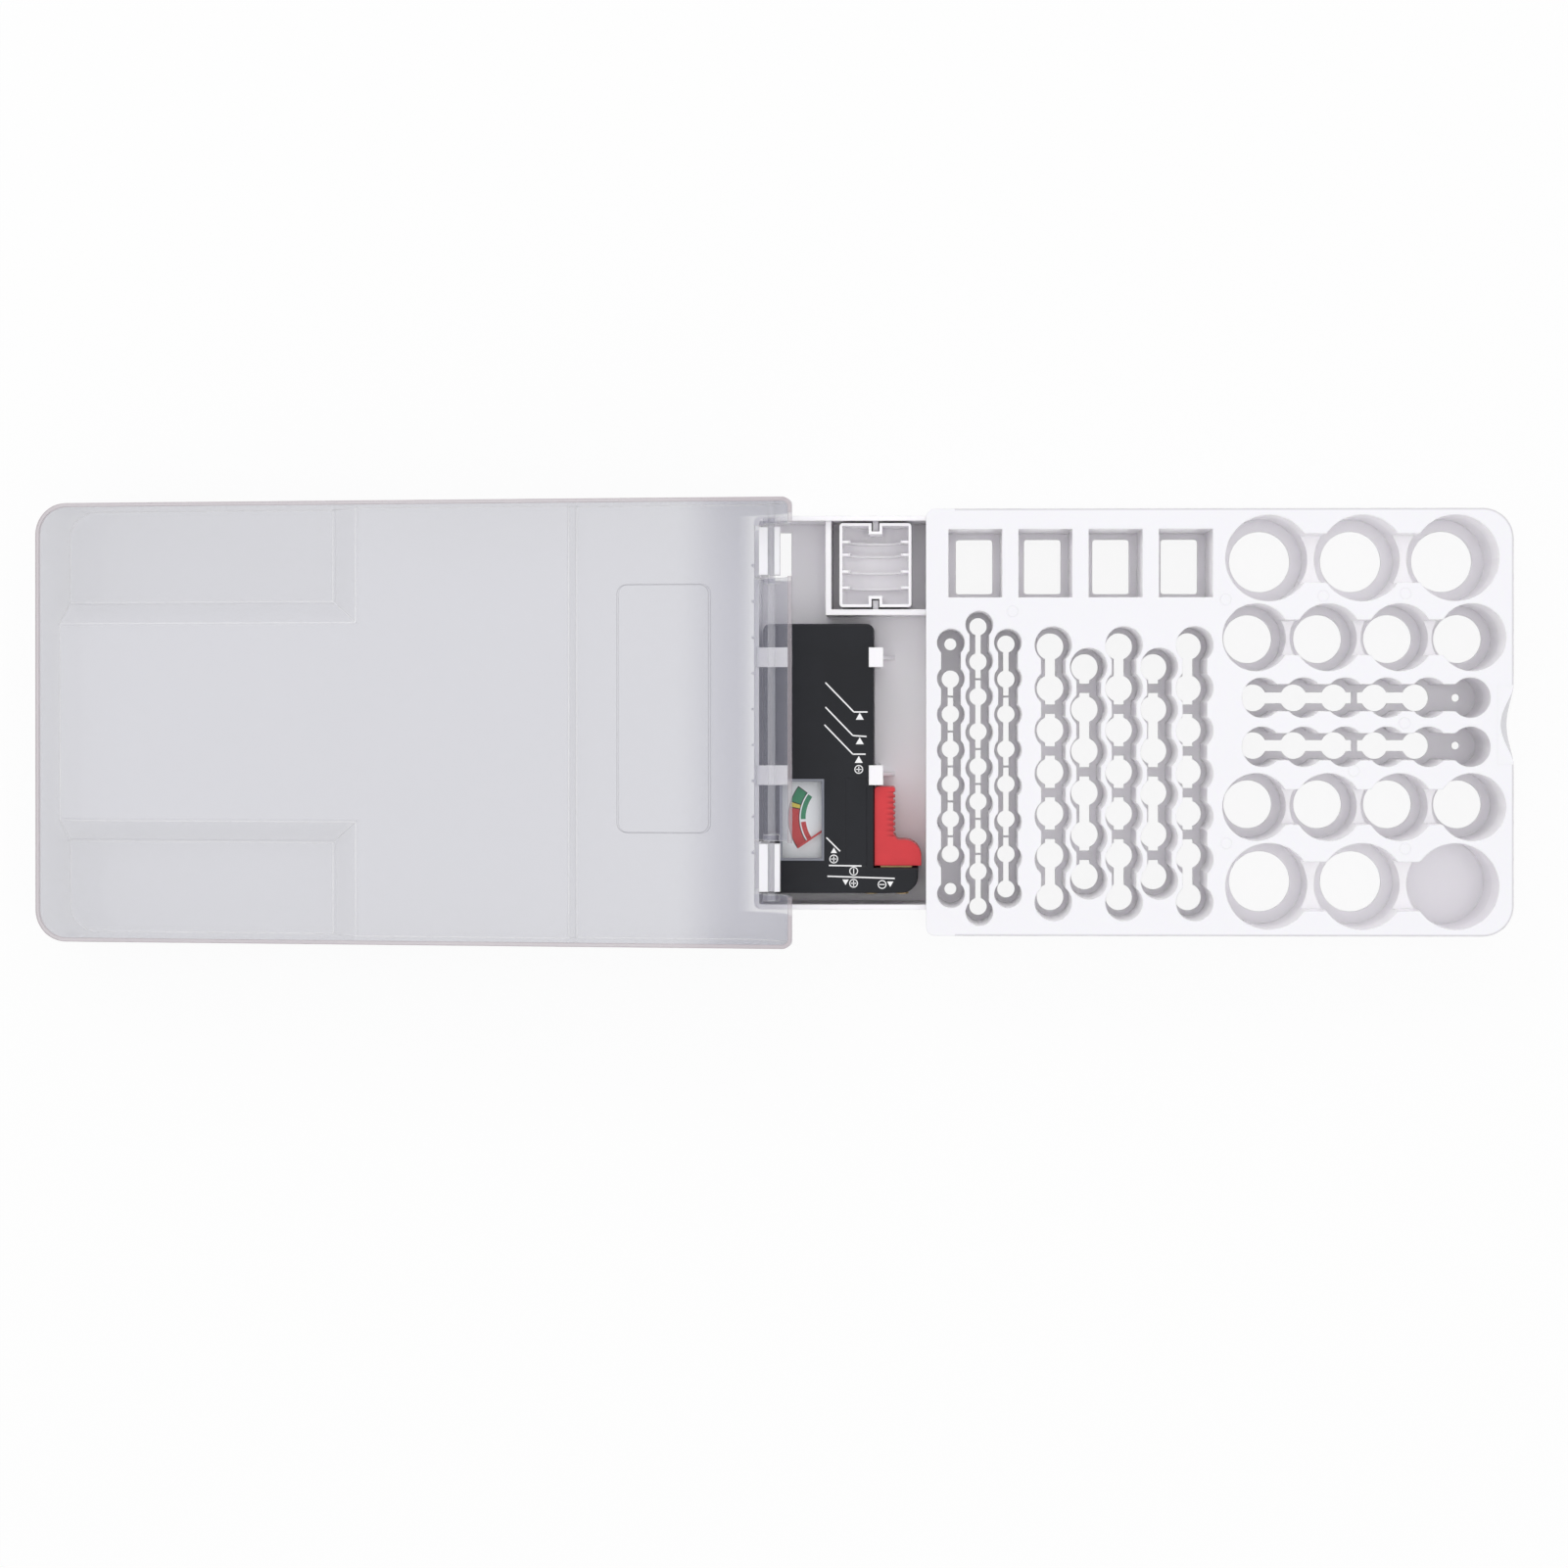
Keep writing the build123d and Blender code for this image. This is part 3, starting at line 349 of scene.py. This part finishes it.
# Thin walls pass light on. A paler colour painted over the wells and the bay stands in for that
# light, so they are a shade paler than the deck and the skirt.
# The wells' walls are straight: a faint line at half depth, one under the lip and a slightly darker
# lower wall are painted shade. A soft grey line of painted shade follows the deck's outer edge.
def wellPaint(point, colour):
    x, y, z = split(point)
    look = wellLook
    pale = x.band(*look["paleX"], look["paleSoft"]) * y.band(*look["paleY"], look["paleSoft"])
    pale = pale * (1 - z.ramp(*look["paleTop"]))
    colour = mixColour(point, pale, colour, trayLook["inside"])
    half, line = look["halfDepth"], look["line"]
    lines = z.band(half - line, half, line / 2) + z.band(look["lip"] - line, look["lip"], line / 2)
    lower = z.band(look["lowest"], half, line) * look["lowShade"]
    bank = x.band(*look["bankX"], line) * y.band(*look["bankY"], line)
    outline = awayFrom(x, y, deckEdge).ramp(deckEdge["round"] - deckEdge["line"], deckEdge["round"])
    outline = outline * z.ramp(deckEdge["above"], deckEdge["above"] + line)
    outline = outline * x.ramp(deckEdge["nearEnd"], deckEdge["nearEnd"] + line) * deckEdge["shade"]
    shade = (lines * look["lineShade"] + lower) * bank + outline
    return mixColour(point, shade, colour, look["shadeTone"])


dress(["tray", "tester_bay"], moulded("tray white", trayLook, ejectorHeight, wellPaint))
# The caddy takes the same paler colour, painted light for the light its thin walls pass on
caddyLook = {**trayLook, "edge": 0.3 * mm, "colour": trayLook["inside"][:3]}
dress(["cell_caddy"], moulded("caddy white", caddyLook))
print("tray and caddy dressed")

# Finger scoop, in millimetres: its sides run out in a smooth curve
scoopLook = {
    "middle": -1.0,
    "half": 15.0,
    "depth": 5.4,
    "deckRight": 301.4,
    "top": 34.5,
    "height": 14.0,
    "behind": 0.15,
    "lap": 1.2,
    "inside": 0.02,
    "over": 0.03,
    "columns": 49,
    "rows": 10,
    "sideCurve": 0.75,
    "slopeCurve": 1.3,
    "slopeTop": (33.6, 34.3),
    "slopeShade": [0.6, 0.595, 0.635, 1.0],
}


# Across the scoop its depth follows a raised cosine. Each column is a closed section that runs from
# the deck's edge down a hollow curve to the skirt and back up behind the plain notch's slope. Its
# top laps over the notch's edges.
def scoopPiece():
    look = scoopLook
    turns = np.linspace(-math.pi, math.pi, look["columns"])[:, None]
    share = ((1 + np.cos(turns)) / 2) ** look["sideCurve"]
    down = np.linspace(0.0, 1.0, look["rows"])[None, :]
    right = look["deckRight"] - look["inside"]
    left = right - look["depth"] - look["lap"]
    top = look["top"] + look["over"]
    foot = top - look["height"] - look["behind"]
    under = top - look["over"] - look["behind"]
    slopeX = right - look["depth"] * share * (1 - down) ** look["slopeCurve"]
    slopeZ = top - look["height"] * share * down
    each = np.ones_like(turns)
    x = np.hstack([slopeX, right * each, left * each, left * each])
    z = np.hstack([slopeZ, foot * each, under * each, top * each])
    y = look["middle"] + (look["half"] + look["lap"]) * turns / math.pi * np.ones_like(x)
    points = np.stack([x, y, z], axis=-1).reshape(-1, 3) * mm
    ring = x.shape[1]
    faces = netFaces(look["columns"], ring, False)
    faces.append(list(range(ring))[::-1])
    faces.append([(look["columns"] - 1) * ring + j for j in range(ring)])
    return newPiece("finger_scoop", points.tolist(), faces)


# The steep slope gets a painted soft shade
def scoopPaint(point, colour):
    x, y, z = split(point)
    low, high = scoopLook["slopeTop"]
    return mixColour(point, z.ramp(low * mm, high * mm), scoopLook["slopeShade"], colour)


scoop = scoopPiece()
scoopFinish = {**trayLook, "edge": 0.05 * mm, "edgeHighlightShare": 0.0}
scoop.data.materials.append(moulded("scoop white", scoopFinish, paint=scoopPaint))
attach(scoop, "case")
print("scoop made")

# Cover and hinge rod: clear plastic
coverLook = {
    "colour": [0.43, 0.43, 0.515],
    "cloudScale": 9.0,
    "faceOn": 0.28,
    "edgeOn": 0.7,
    "slantPower": 6.0,
    # Painted highlight on the cover's edges
    "edgeHighlightTone": [1.0, 1.0, 1.0],
    "edgeHighlightShare": 0.65,
    "ior": 1.59,
    "rough": 0.04,
    "roughRange": 0.05,
    "roughScale": 25.0,
    "ripple": 0.015 * mm,
    "rippleScale": 40.0,
    "edge": 0.6 * mm,
}
coverMarks = {
    "rimHeight": 64.4 * mm,
    "rimFall": 0.1041,
    "rimDepth": 1.5 * mm,
    "rimTone": [0.5, 0.44, 0.47, 1.0],
    "rimStop": 0.3,
    "label": {"middle": (-45.3 * mm, 5.6 * mm), "half": (19.1 * mm, 50.8 * mm), "round": 4.0 * mm},
    "labelLine": 0.3 * mm,
    "labelTone": [0.3, 0.3, 0.34, 1.0],
    "labelStop": 0.12,
    "shadeSpan": (-42.0 * mm, -14.0 * mm),
    "shade": 0.16,
    "hingeX": (-15.0 * mm, -5.0 * mm),
    "hingeY": (-77.0 * mm, 84.0 * mm),
    "hingeSoft": 0.5 * mm,
    "hingeClear": 0.5,
}


# A greyer rim, which leans with the open cover, and a fine outline round the label panel. A painted
# shade makes the cover less clear towards the hinge, and it is clearer again over it.
def coverPaint(point, tone, body):
    x, y, z = split(point)
    marks = coverMarks
    under = z - x * marks["rimFall"] - marks["rimHeight"]
    rim = under.ramp(-marks["rimDepth"], -marks["rimDepth"] / 2)
    tone = mixColour(point, rim, tone, marks["rimTone"])
    corner, line = marks["label"]["round"], marks["labelLine"]
    outline = awayFrom(x, y, marks["label"]).band(corner - line, corner, line / 2)
    tone = mixColour(point, outline, tone, marks["labelTone"])
    # Painted shade: the cover grows less clear towards the hinge
    shade = x.ramp(*marks["shadeSpan"]) * marks["shade"]
    body = body + rim * marks["rimStop"] + outline * marks["labelStop"] + shade
    atHinge = x.ramp(*marks["hingeX"]) * y.band(*marks["hingeY"], marks["hingeSoft"])
    return tone, body * (1 - atHinge * marks["hingeClear"])


dress(["cover"], clear("cover clear", coverLook, paint=coverPaint))
rodLook = {
    **coverLook,
    "colour": [0.8, 0.8, 0.84],
    "faceOn": 0.14,
    "edgeOn": 0.6,
    "slantPower": 3.0,
    "edge": 0.2 * mm,
}
dress(["hinge_rod"], clear("rod clear", rodLook))
print("cover dressed")

# Tester: black shells, red slider, dial under its window, and the works inside
testerLook = {
    "colour": [0.013, 0.014, 0.018],
    "wander": 0.15,
    "cloudScale": 30.0,
    "rough": 0.30,
    "roughRange": 0.15,
    "roughScale": 120.0,
    "ior": 1.36,
    "ripple": 0.03 * mm,
    "rippleScale": 500.0,
    "edge": 0.4 * mm,
}
testerRecess = {
    "x": (29.5 * mm, 38.0 * mm),
    "y": (-59.5 * mm, -23.0 * mm),
    "top": (25.5 * mm, 25.6 * mm),
    "depth": 0.25 * mm,
    "soft": 0.25 * mm,
}


# A long shallow recess beside the dial, in the top face only
def recessHeight(point):
    x, y, z = split(point)
    soft = testerRecess["soft"]
    inside = x.band(*testerRecess["x"], soft) * y.band(*testerRecess["y"], soft)
    return inside * z.ramp(*testerRecess["top"]) * -testerRecess["depth"]


testerBlack = moulded("tester black", testerLook, height=recessHeight)
dress(["tester_top_shell", "tester_base_shell"], testerBlack)

sliderLook = {
    "colour": [0.69, 0.045, 0.055],
    "wander": 0.06,
    "cloudScale": 60.0,
    "rough": 0.32,
    "roughRange": 0.12,
    "roughScale": 150.0,
    "ior": 1.42,
    "ripple": 0.03 * mm,
    "rippleScale": 400.0,
    "edge": 0.4 * mm,
    # Painted highlight on the slider's edges
    "edgeHighlightTone": [0.85, 0.16, 0.17],
    "edgeHighlightShare": 0.6,
}
sliderGrip = {
    "pitch": 2.3 * mm,
    "middle": -37.9 * mm,
    "half": 9.2 * mm,
    "soft": 0.3 * mm,
    "rise": (45.2 * mm, 48.6 * mm),
    "depth": 0.3 * mm,
    "shade": 0.6,
    "grooveShadeTone": [0.28, 0.012, 0.02, 1.0],
}


# Rounded ridges that deepen towards the slider's grip side: 1 on a ridge, -1 in a groove
def gripWave(point):
    x, y, z = split(point)
    middle, half = sliderGrip["middle"], sliderGrip["half"]
    turn = (y - middle) * (2 * math.pi / sliderGrip["pitch"]) + math.pi
    wave = turn.math("COSINE", turn) * x.ramp(*sliderGrip["rise"])
    return wave * y.band(middle - half, middle + half, sliderGrip["soft"])


def gripHeight(point):
    return gripWave(point) * sliderGrip["depth"]


# Painted shade darkens the grooves between the ridges
def gripPaint(point, colour):
    groove = (gripWave(point) * -1).most(0.0) * sliderGrip["shade"]
    return mixColour(point, groove, colour, sliderGrip["grooveShadeTone"])


dress(["tester_slider"], moulded("slider red", sliderLook, gripHeight, gripPaint))

# Turns are in degrees about the needle's pivot
dialArcs = {
    "pivot": (27.4 * mm, -39.6 * mm),
    "turns": (144.5, 214.0),
    "outline": 0.35 * mm,
    "outlineTurn": 1.0,
    "outer": (17.7 * mm, 21.8 * mm),
    "outerTurns": (162.0, 168.0),
    "inner": (14.8 * mm, 16.8 * mm),
    "innerTurns": (182.0, 186.0),
    "soft": 0.06 * mm,
    "turnSoft": 0.3,
    "divider": 0.6,
    "dividerSoft": 0.2,
    "black": [0.02, 0.02, 0.025, 1.0],
    "green": [0.05, 0.28, 0.14, 1.0],
    "yellow": [0.75, 0.62, 0.1, 1.0],
    "red": [0.6, 0.06, 0.06, 1.0],
    "white": [0.95, 0.97, 1.0, 1.0],
}


# Green up to the first turn, the middle colour up to the second, and red beyond
def arcInk(point, turn, changes, middle):
    soft = dialArcs["turnSoft"]
    first, second = [turn.ramp(change - soft, change + soft) for change in changes]
    ink = mixColour(point, first, dialArcs["green"], dialArcs[middle])
    return mixColour(point, second, ink, dialArcs["red"])


# Two coloured arcs about the needle's pivot, the outer one with a black outline and dividers
def dialPaint(point, colour):
    x, y, z = split(point)
    arcs = dialArcs
    across, along = x - arcs["pivot"][0], y - arcs["pivot"][1]
    away = distance(across, along)
    turn = across.math("ARCTAN2", along * -1, across * -1) * (180 / math.pi) + 180
    start, end = arcs["turns"]
    inSpan = turn.band(start, end, arcs["turnSoft"])
    near, far = arcs["outer"]
    lines = away.band(near - arcs["outline"], far + arcs["outline"], arcs["soft"])
    extra = arcs["outlineTurn"]
    lines = lines * turn.band(start - extra, end + extra, arcs["turnSoft"])
    painted = mixColour(point, lines, colour, arcs["black"])
    outer = away.band(near, far, arcs["soft"]) * inSpan
    painted = mixColour(point, outer, painted, arcInk(point, turn, arcs["outerTurns"], "yellow"))
    wide, soft = arcs["divider"], arcs["dividerSoft"]
    first, second = [turn.band(t - wide, t + wide, soft) for t in arcs["outerTurns"]]
    painted = mixColour(point, outer * first.most(second), painted, arcs["black"])
    inner = away.band(*arcs["inner"], arcs["soft"]) * inSpan
    return mixColour(point, inner, painted, arcInk(point, turn, arcs["innerTurns"], "white"))


dialLook = {
    "colour": [0.95, 0.97, 1.0],
    "wander": 0.01,
    "cloudScale": 80.0,
    "rough": 0.55,
    "roughRange": 0.1,
    "roughScale": 300.0,
    "ior": 1.45,
    "ripple": 0.004 * mm,
    "rippleScale": 900.0,
    "edge": 0.1 * mm,
}
dress(["meter_dial"], moulded("dial card", dialLook, paint=dialPaint))
windowLook = {
    **coverLook,
    "colour": [0.6, 0.63, 0.7],
    "faceOn": 0.03,
    "edgeHighlightShare": 0.1,
    "edge": 0.2 * mm,
}
dress(["meter_window"], clear("window clear", windowLook))
needleLook = {**dialLook, "colour": [0.6, 0.05, 0.05], "rough": 0.35}
dress(["meter_needle"], moulded("needle red", needleLook))
boardLook = {**dialLook, "colour": [0.03, 0.16, 0.07], "rough": 0.35}
dress(["circuit_board"], moulded("board green", boardLook))
resistorLook = {**dialLook, "colour": [0.55, 0.42, 0.26], "rough": 0.4}
dress(["load_resistors"], moulded("resistor tan", resistorLook))
goldLook = {"colour": [0.78, 0.57, 0.27], "rough": 0.2, "grain": (200.0, 4000.0, 4000.0)}
dress(["slider_contact", "foot_contact", "nine_volt_contacts"], metal("contact gold", goldLook))
steelLook = {"colour": [0.55, 0.55, 0.57], "rough": 0.25, "grain": (3000.0, 3000.0, 500.0)}
dress(["tester_screws"], metal("screw steel", steelLook))
ironLook = {"colour": [0.35, 0.35, 0.37], "rough": 0.4, "grain": (3000.0, 3000.0, 800.0)}
dress(["meter_core", "meter_ring"], metal("soft iron", ironLook))
brassLook = {"colour": [0.72, 0.55, 0.28], "rough": 0.3, "grain": (3000.0, 600.0, 3000.0)}
dress(["meter_frame"], metal("frame brass", brassLook))
copperLook = {"colour": [0.7, 0.33, 0.17], "rough": 0.3, "grain": (9000.0, 300.0, 300.0)}
dress(["meter_coil"], metal("coil copper", copperLook))
print("tester dressed")

# Printed marks on the tester's top. Their places are in pixels of the photograph, 1601 across: one
# pixel, its place in millimetres and the pixels to a millimetre turn them into places on the top.
# A triangle has its place, its size and which way its tip points in degrees. A sign has its place,
# then whether a bar runs along X and along Y in its ring.
printLook = {
    "height": 26.03 * mm,
    "line": 0.55 * mm,
    "thin": 0.38 * mm,
    "triangle": 1.9 * mm,
    "smallTriangle": 1.5 * mm,
    "ring": 1.8 * mm,
    "reach": 0.62,
    "segments": 24,
    "pixel": (1108, 724),
    "place": (126.8, 5.4),
    "scale": 2.4765,
    "lines": [
        [(846, 697), (875, 727), (889, 727)],
        [(846, 722), (874, 751), (888, 752)],
        [(845, 740), (874, 770), (887, 770)],
        [(847, 855), (861, 869)],
        [(849.5, 883.4), (882.8, 883.9)],
        [(848, 894.4), (916.6, 896.6)],
    ],
    "triangles": [
        ((881, 732.5), "triangle", 90),
        ((881, 757.5), "triangle", 90),
        ((880, 776.5), "triangle", 90),
        ((854.6, 868.9), "smallTriangle", 90),
        ((866.5, 899.6), "smallTriangle", 270),
        ((912, 901.6), "smallTriangle", 270),
    ],
    "signs": [
        ((880, 785.5), True, True),
        ((854.5, 876.8), True, True),
        ((874.7, 901.6), True, True),
        ((874.8, 889.2), False, True),
        ((903.8, 902.8), True, False),
    ],
}


# Collects flat strips, triangles and rings at one height, each wound to face up
class Ink:
    def __init__(self):
        self.points = []
        self.faces = []

    def add(self, points, faces):
        start = len(self.points)
        self.points += points
        self.faces += [[start + i for i in face] for face in faces]

    # A strip of the given width from each place to the next
    def run(self, places, width):
        for (ax, ay), (bx, by) in zip(places, places[1:]):
            length = math.hypot(bx - ax, by - ay)
            nx, ny = -(by - ay) / length * width / 2, (bx - ax) / length * width / 2
            right = [(ax - nx, ay - ny), (bx - nx, by - ny)]
            left = [(bx + nx, by + ny), (ax + nx, ay + ny)]
            self.add(right + left, [[0, 1, 2, 3]])

    # A filled triangle with its tip towards the given turn in degrees
    def triangle(self, x, y, size, turn):
        turns = [math.radians(turn + k * 120) for k in range(3)]
        self.add([(x + size * math.cos(t), y + size * math.sin(t)) for t in turns], [[0, 1, 2]])

    # Two circles about x and y, and a face between each pair of their points
    def ring(self, x, y, radius, width, count):
        turns = (2 * math.pi * np.arange(count) / count)[:, None]
        reach = np.array([radius - width, radius])
        points = np.stack([x + reach * np.cos(turns), y + reach * np.sin(turns)], axis=-1)
        here = 2 * np.arange(count)
        after = (here + 2) % (2 * count)
        faces = np.stack([here, here + 1, after + 1, after], axis=-1)
        self.add(points.reshape(-1, 2).tolist(), faces.tolist())

    def piece(self, name, height):
        return newPiece(name, [(x, y, height) for x, y in self.points], self.faces)


# Place on the tester's top of a pixel of the photograph
def onTester(pixel):
    x = (pixel[0] - printLook["pixel"][0]) / printLook["scale"] + printLook["place"][0]
    y = (printLook["pixel"][1] - pixel[1]) / printLook["scale"] + printLook["place"][1]
    return x * mm, y * mm


ink = Ink()
for line in printLook["lines"]:
    ink.run([onTester(pixel) for pixel in line], printLook["line"])
for pixel, size, turn in printLook["triangles"]:
    ink.triangle(*onTester(pixel), printLook[size], turn)
for pixel, alongX, alongY in printLook["signs"]:
    x, y = onTester(pixel)
    reach = printLook["ring"] * printLook["reach"]
    ink.ring(x, y, printLook["ring"], printLook["thin"], printLook["segments"])
    if alongX:
        ink.run([(x - reach, y), (x + reach, y)], printLook["thin"])
    if alongY:
        ink.run([(x, y - reach), (x, y + reach)], printLook["thin"])
testerPrint = ink.piece("tester_print", printLook["height"])
inkLook = {**dialLook, "colour": [0.95, 0.95, 0.96], "rough": 0.5}
testerPrint.data.materials.append(moulded("print white", inkLook))
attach(testerPrint, "case")
print("tester printed")

# Bezel round the dial's window, in millimetres
bezelLook = {
    "x": (2.4, 20.2),
    "y": (-56.75, -23.65),
    "width": 0.8,
    "top": 26.02,
    "low": 24.3,
    "slope": 0.35,
    "overhang": 0.25,
    "fall": 0.05,
}


# A closed frame: its section goes up the opening's side, over a flat lip and down a slope inwards
def bezelPiece():
    look = bezelLook
    width, top, low, slope = look["width"], look["top"], look["low"], look["slope"]
    inset = np.array([0.0, -look["overhang"], width - slope, width, width])
    height = np.array([low, top, top - look["fall"], top - slope, low])
    x0, x1 = look["x"][0] + inset, look["x"][1] - inset
    y0, y1 = look["y"][0] + inset, look["y"][1] - inset
    x = np.stack([x0, x1, x1, x0], axis=-1)
    y = np.stack([y0, y0, y1, y1], axis=-1)
    z = np.stack([height] * 4, axis=-1)
    points = np.stack([x, y, z], axis=-1).reshape(-1, 3) * mm
    return newPiece("window_bezel", points.tolist(), netFaces(len(inset), 4, True))


bezel = bezelPiece()
bezelFinish = {**testerLook, "colour": [0.24, 0.25, 0.29], "wander": 0.05, "edge": 0.15 * mm}
bezel.data.materials.append(moulded("bezel grey", bezelFinish))
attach(bezel, "case")
print("bezel made")

# Floor: a pale sheet that keeps the case's shadow and is seen mostly as plain white
stageLook = {
    "side": 6.0,
    "colour": 0.86,
    "cloudScale": 3.0,
    "cloudSpan": (0.2, 0.8),
    "cloudShare": 0.01,
    "rough": 0.7,
    "white": 0.88,
}
half = stageLook["side"] / 2
corners = [(-half, -half, 0), (half, -half, 0), (half, half, 0), (-half, half, 0)]
floor = newPiece("floor", corners, [[0, 1, 2, 3]])
material, tree, shader, point = newMaterial("floor pale")
cloud = noise(point, stageLook["cloudScale"]).ramp(*stageLook["cloudSpan"])
join(tree, cloud * stageLook["cloudShare"] + stageLook["colour"], shader.inputs["Base Color"])
shader.inputs["Roughness"].default_value = stageLook["rough"]
seen = point.make("ShaderNodeLightPath", {}, "Is Camera Ray")
for ray in ("Is Glossy Ray", "Is Transmission Ray"):
    seen = seen.most(point.make("ShaderNodeLightPath", {}, ray))
glow = point.make("ShaderNodeEmission", {"Strength": 1.0})
lit = Value(tree, shader.outputs[0])
mixed = point.make("ShaderNodeMixShader", {0: seen * stageLook["white"], 1: lit, 2: glow})
join(tree, mixed, tree.nodes["Material Output"].inputs["Surface"])
floor.data.materials.append(material)

# World and soft boxes: only a mirrored box shows in the case's gloss
lightLook = {
    "worldLevel": 0.92,
    "boxes": [
        {
            "name": "top_box",
            "place": (0.3, 0.05, 2.2),
            "size": (0.8, 0.8),
            "power": 3.0,
            "mirrored": False,
        },
        {
            "name": "back_box",
            "place": (-0.5, 1.9, 1.5),
            "size": (2.6, 1.0),
            "power": 9.0,
            "mirrored": True,
        },
    ],
}
world = bpy.data.worlds.new("studio")
bpy.context.scene.world = world
world.use_nodes = True
backdrop = world.node_tree.nodes["Background"]
level = lightLook["worldLevel"]
seen = Value(world.node_tree, None).make("ShaderNodeLightPath", {}, "Is Camera Ray")
join(world.node_tree, seen * (1 - level) + level, backdrop.inputs["Strength"])
backdrop.inputs["Color"].default_value = (1.0, 1.0, 1.0, 1.0)

for look in lightLook["boxes"]:
    lamp = bpy.data.lights.new(look["name"], "AREA")
    lamp.shape = "RECTANGLE"
    lamp.size, lamp.size_y = look["size"]
    lamp.energy = look["power"]
    box = bpy.data.objects.new(look["name"], lamp)
    box.location = look["place"]
    box.visible_glossy = look["mirrored"]
    box.rotation_euler = (box.location * -1).to_track_quat("-Z", "Y").to_euler()
    bpy.context.scene.collection.objects.link(box)

# Camera: place in metres and turn in degrees
cameraLook = {
    "place": (0.06352, 0.00781, 1.18777),
    "turn": (-0.113, 1.027, -0.012),
    "lens": 64.85,
    "sensor": 36.0,
    "shift": (-0.06, -0.048),
    "near": 0.05,
    "far": 20.0,
}
camera = bpy.data.cameras.new("camera")
camera.lens = cameraLook["lens"]
camera.sensor_width = cameraLook["sensor"]
camera.shift_x, camera.shift_y = cameraLook["shift"]
camera.clip_start = cameraLook["near"]
camera.clip_end = cameraLook["far"]
cameraObject = bpy.data.objects.new("camera", camera)
cameraObject.location = cameraLook["place"]
cameraObject.rotation_euler = [math.radians(a) for a in cameraLook["turn"]]
bpy.context.scene.collection.objects.link(cameraObject)
bpy.context.scene.camera = cameraObject
bpy.context.scene.view_settings.view_transform = "Standard"
print("stage set")
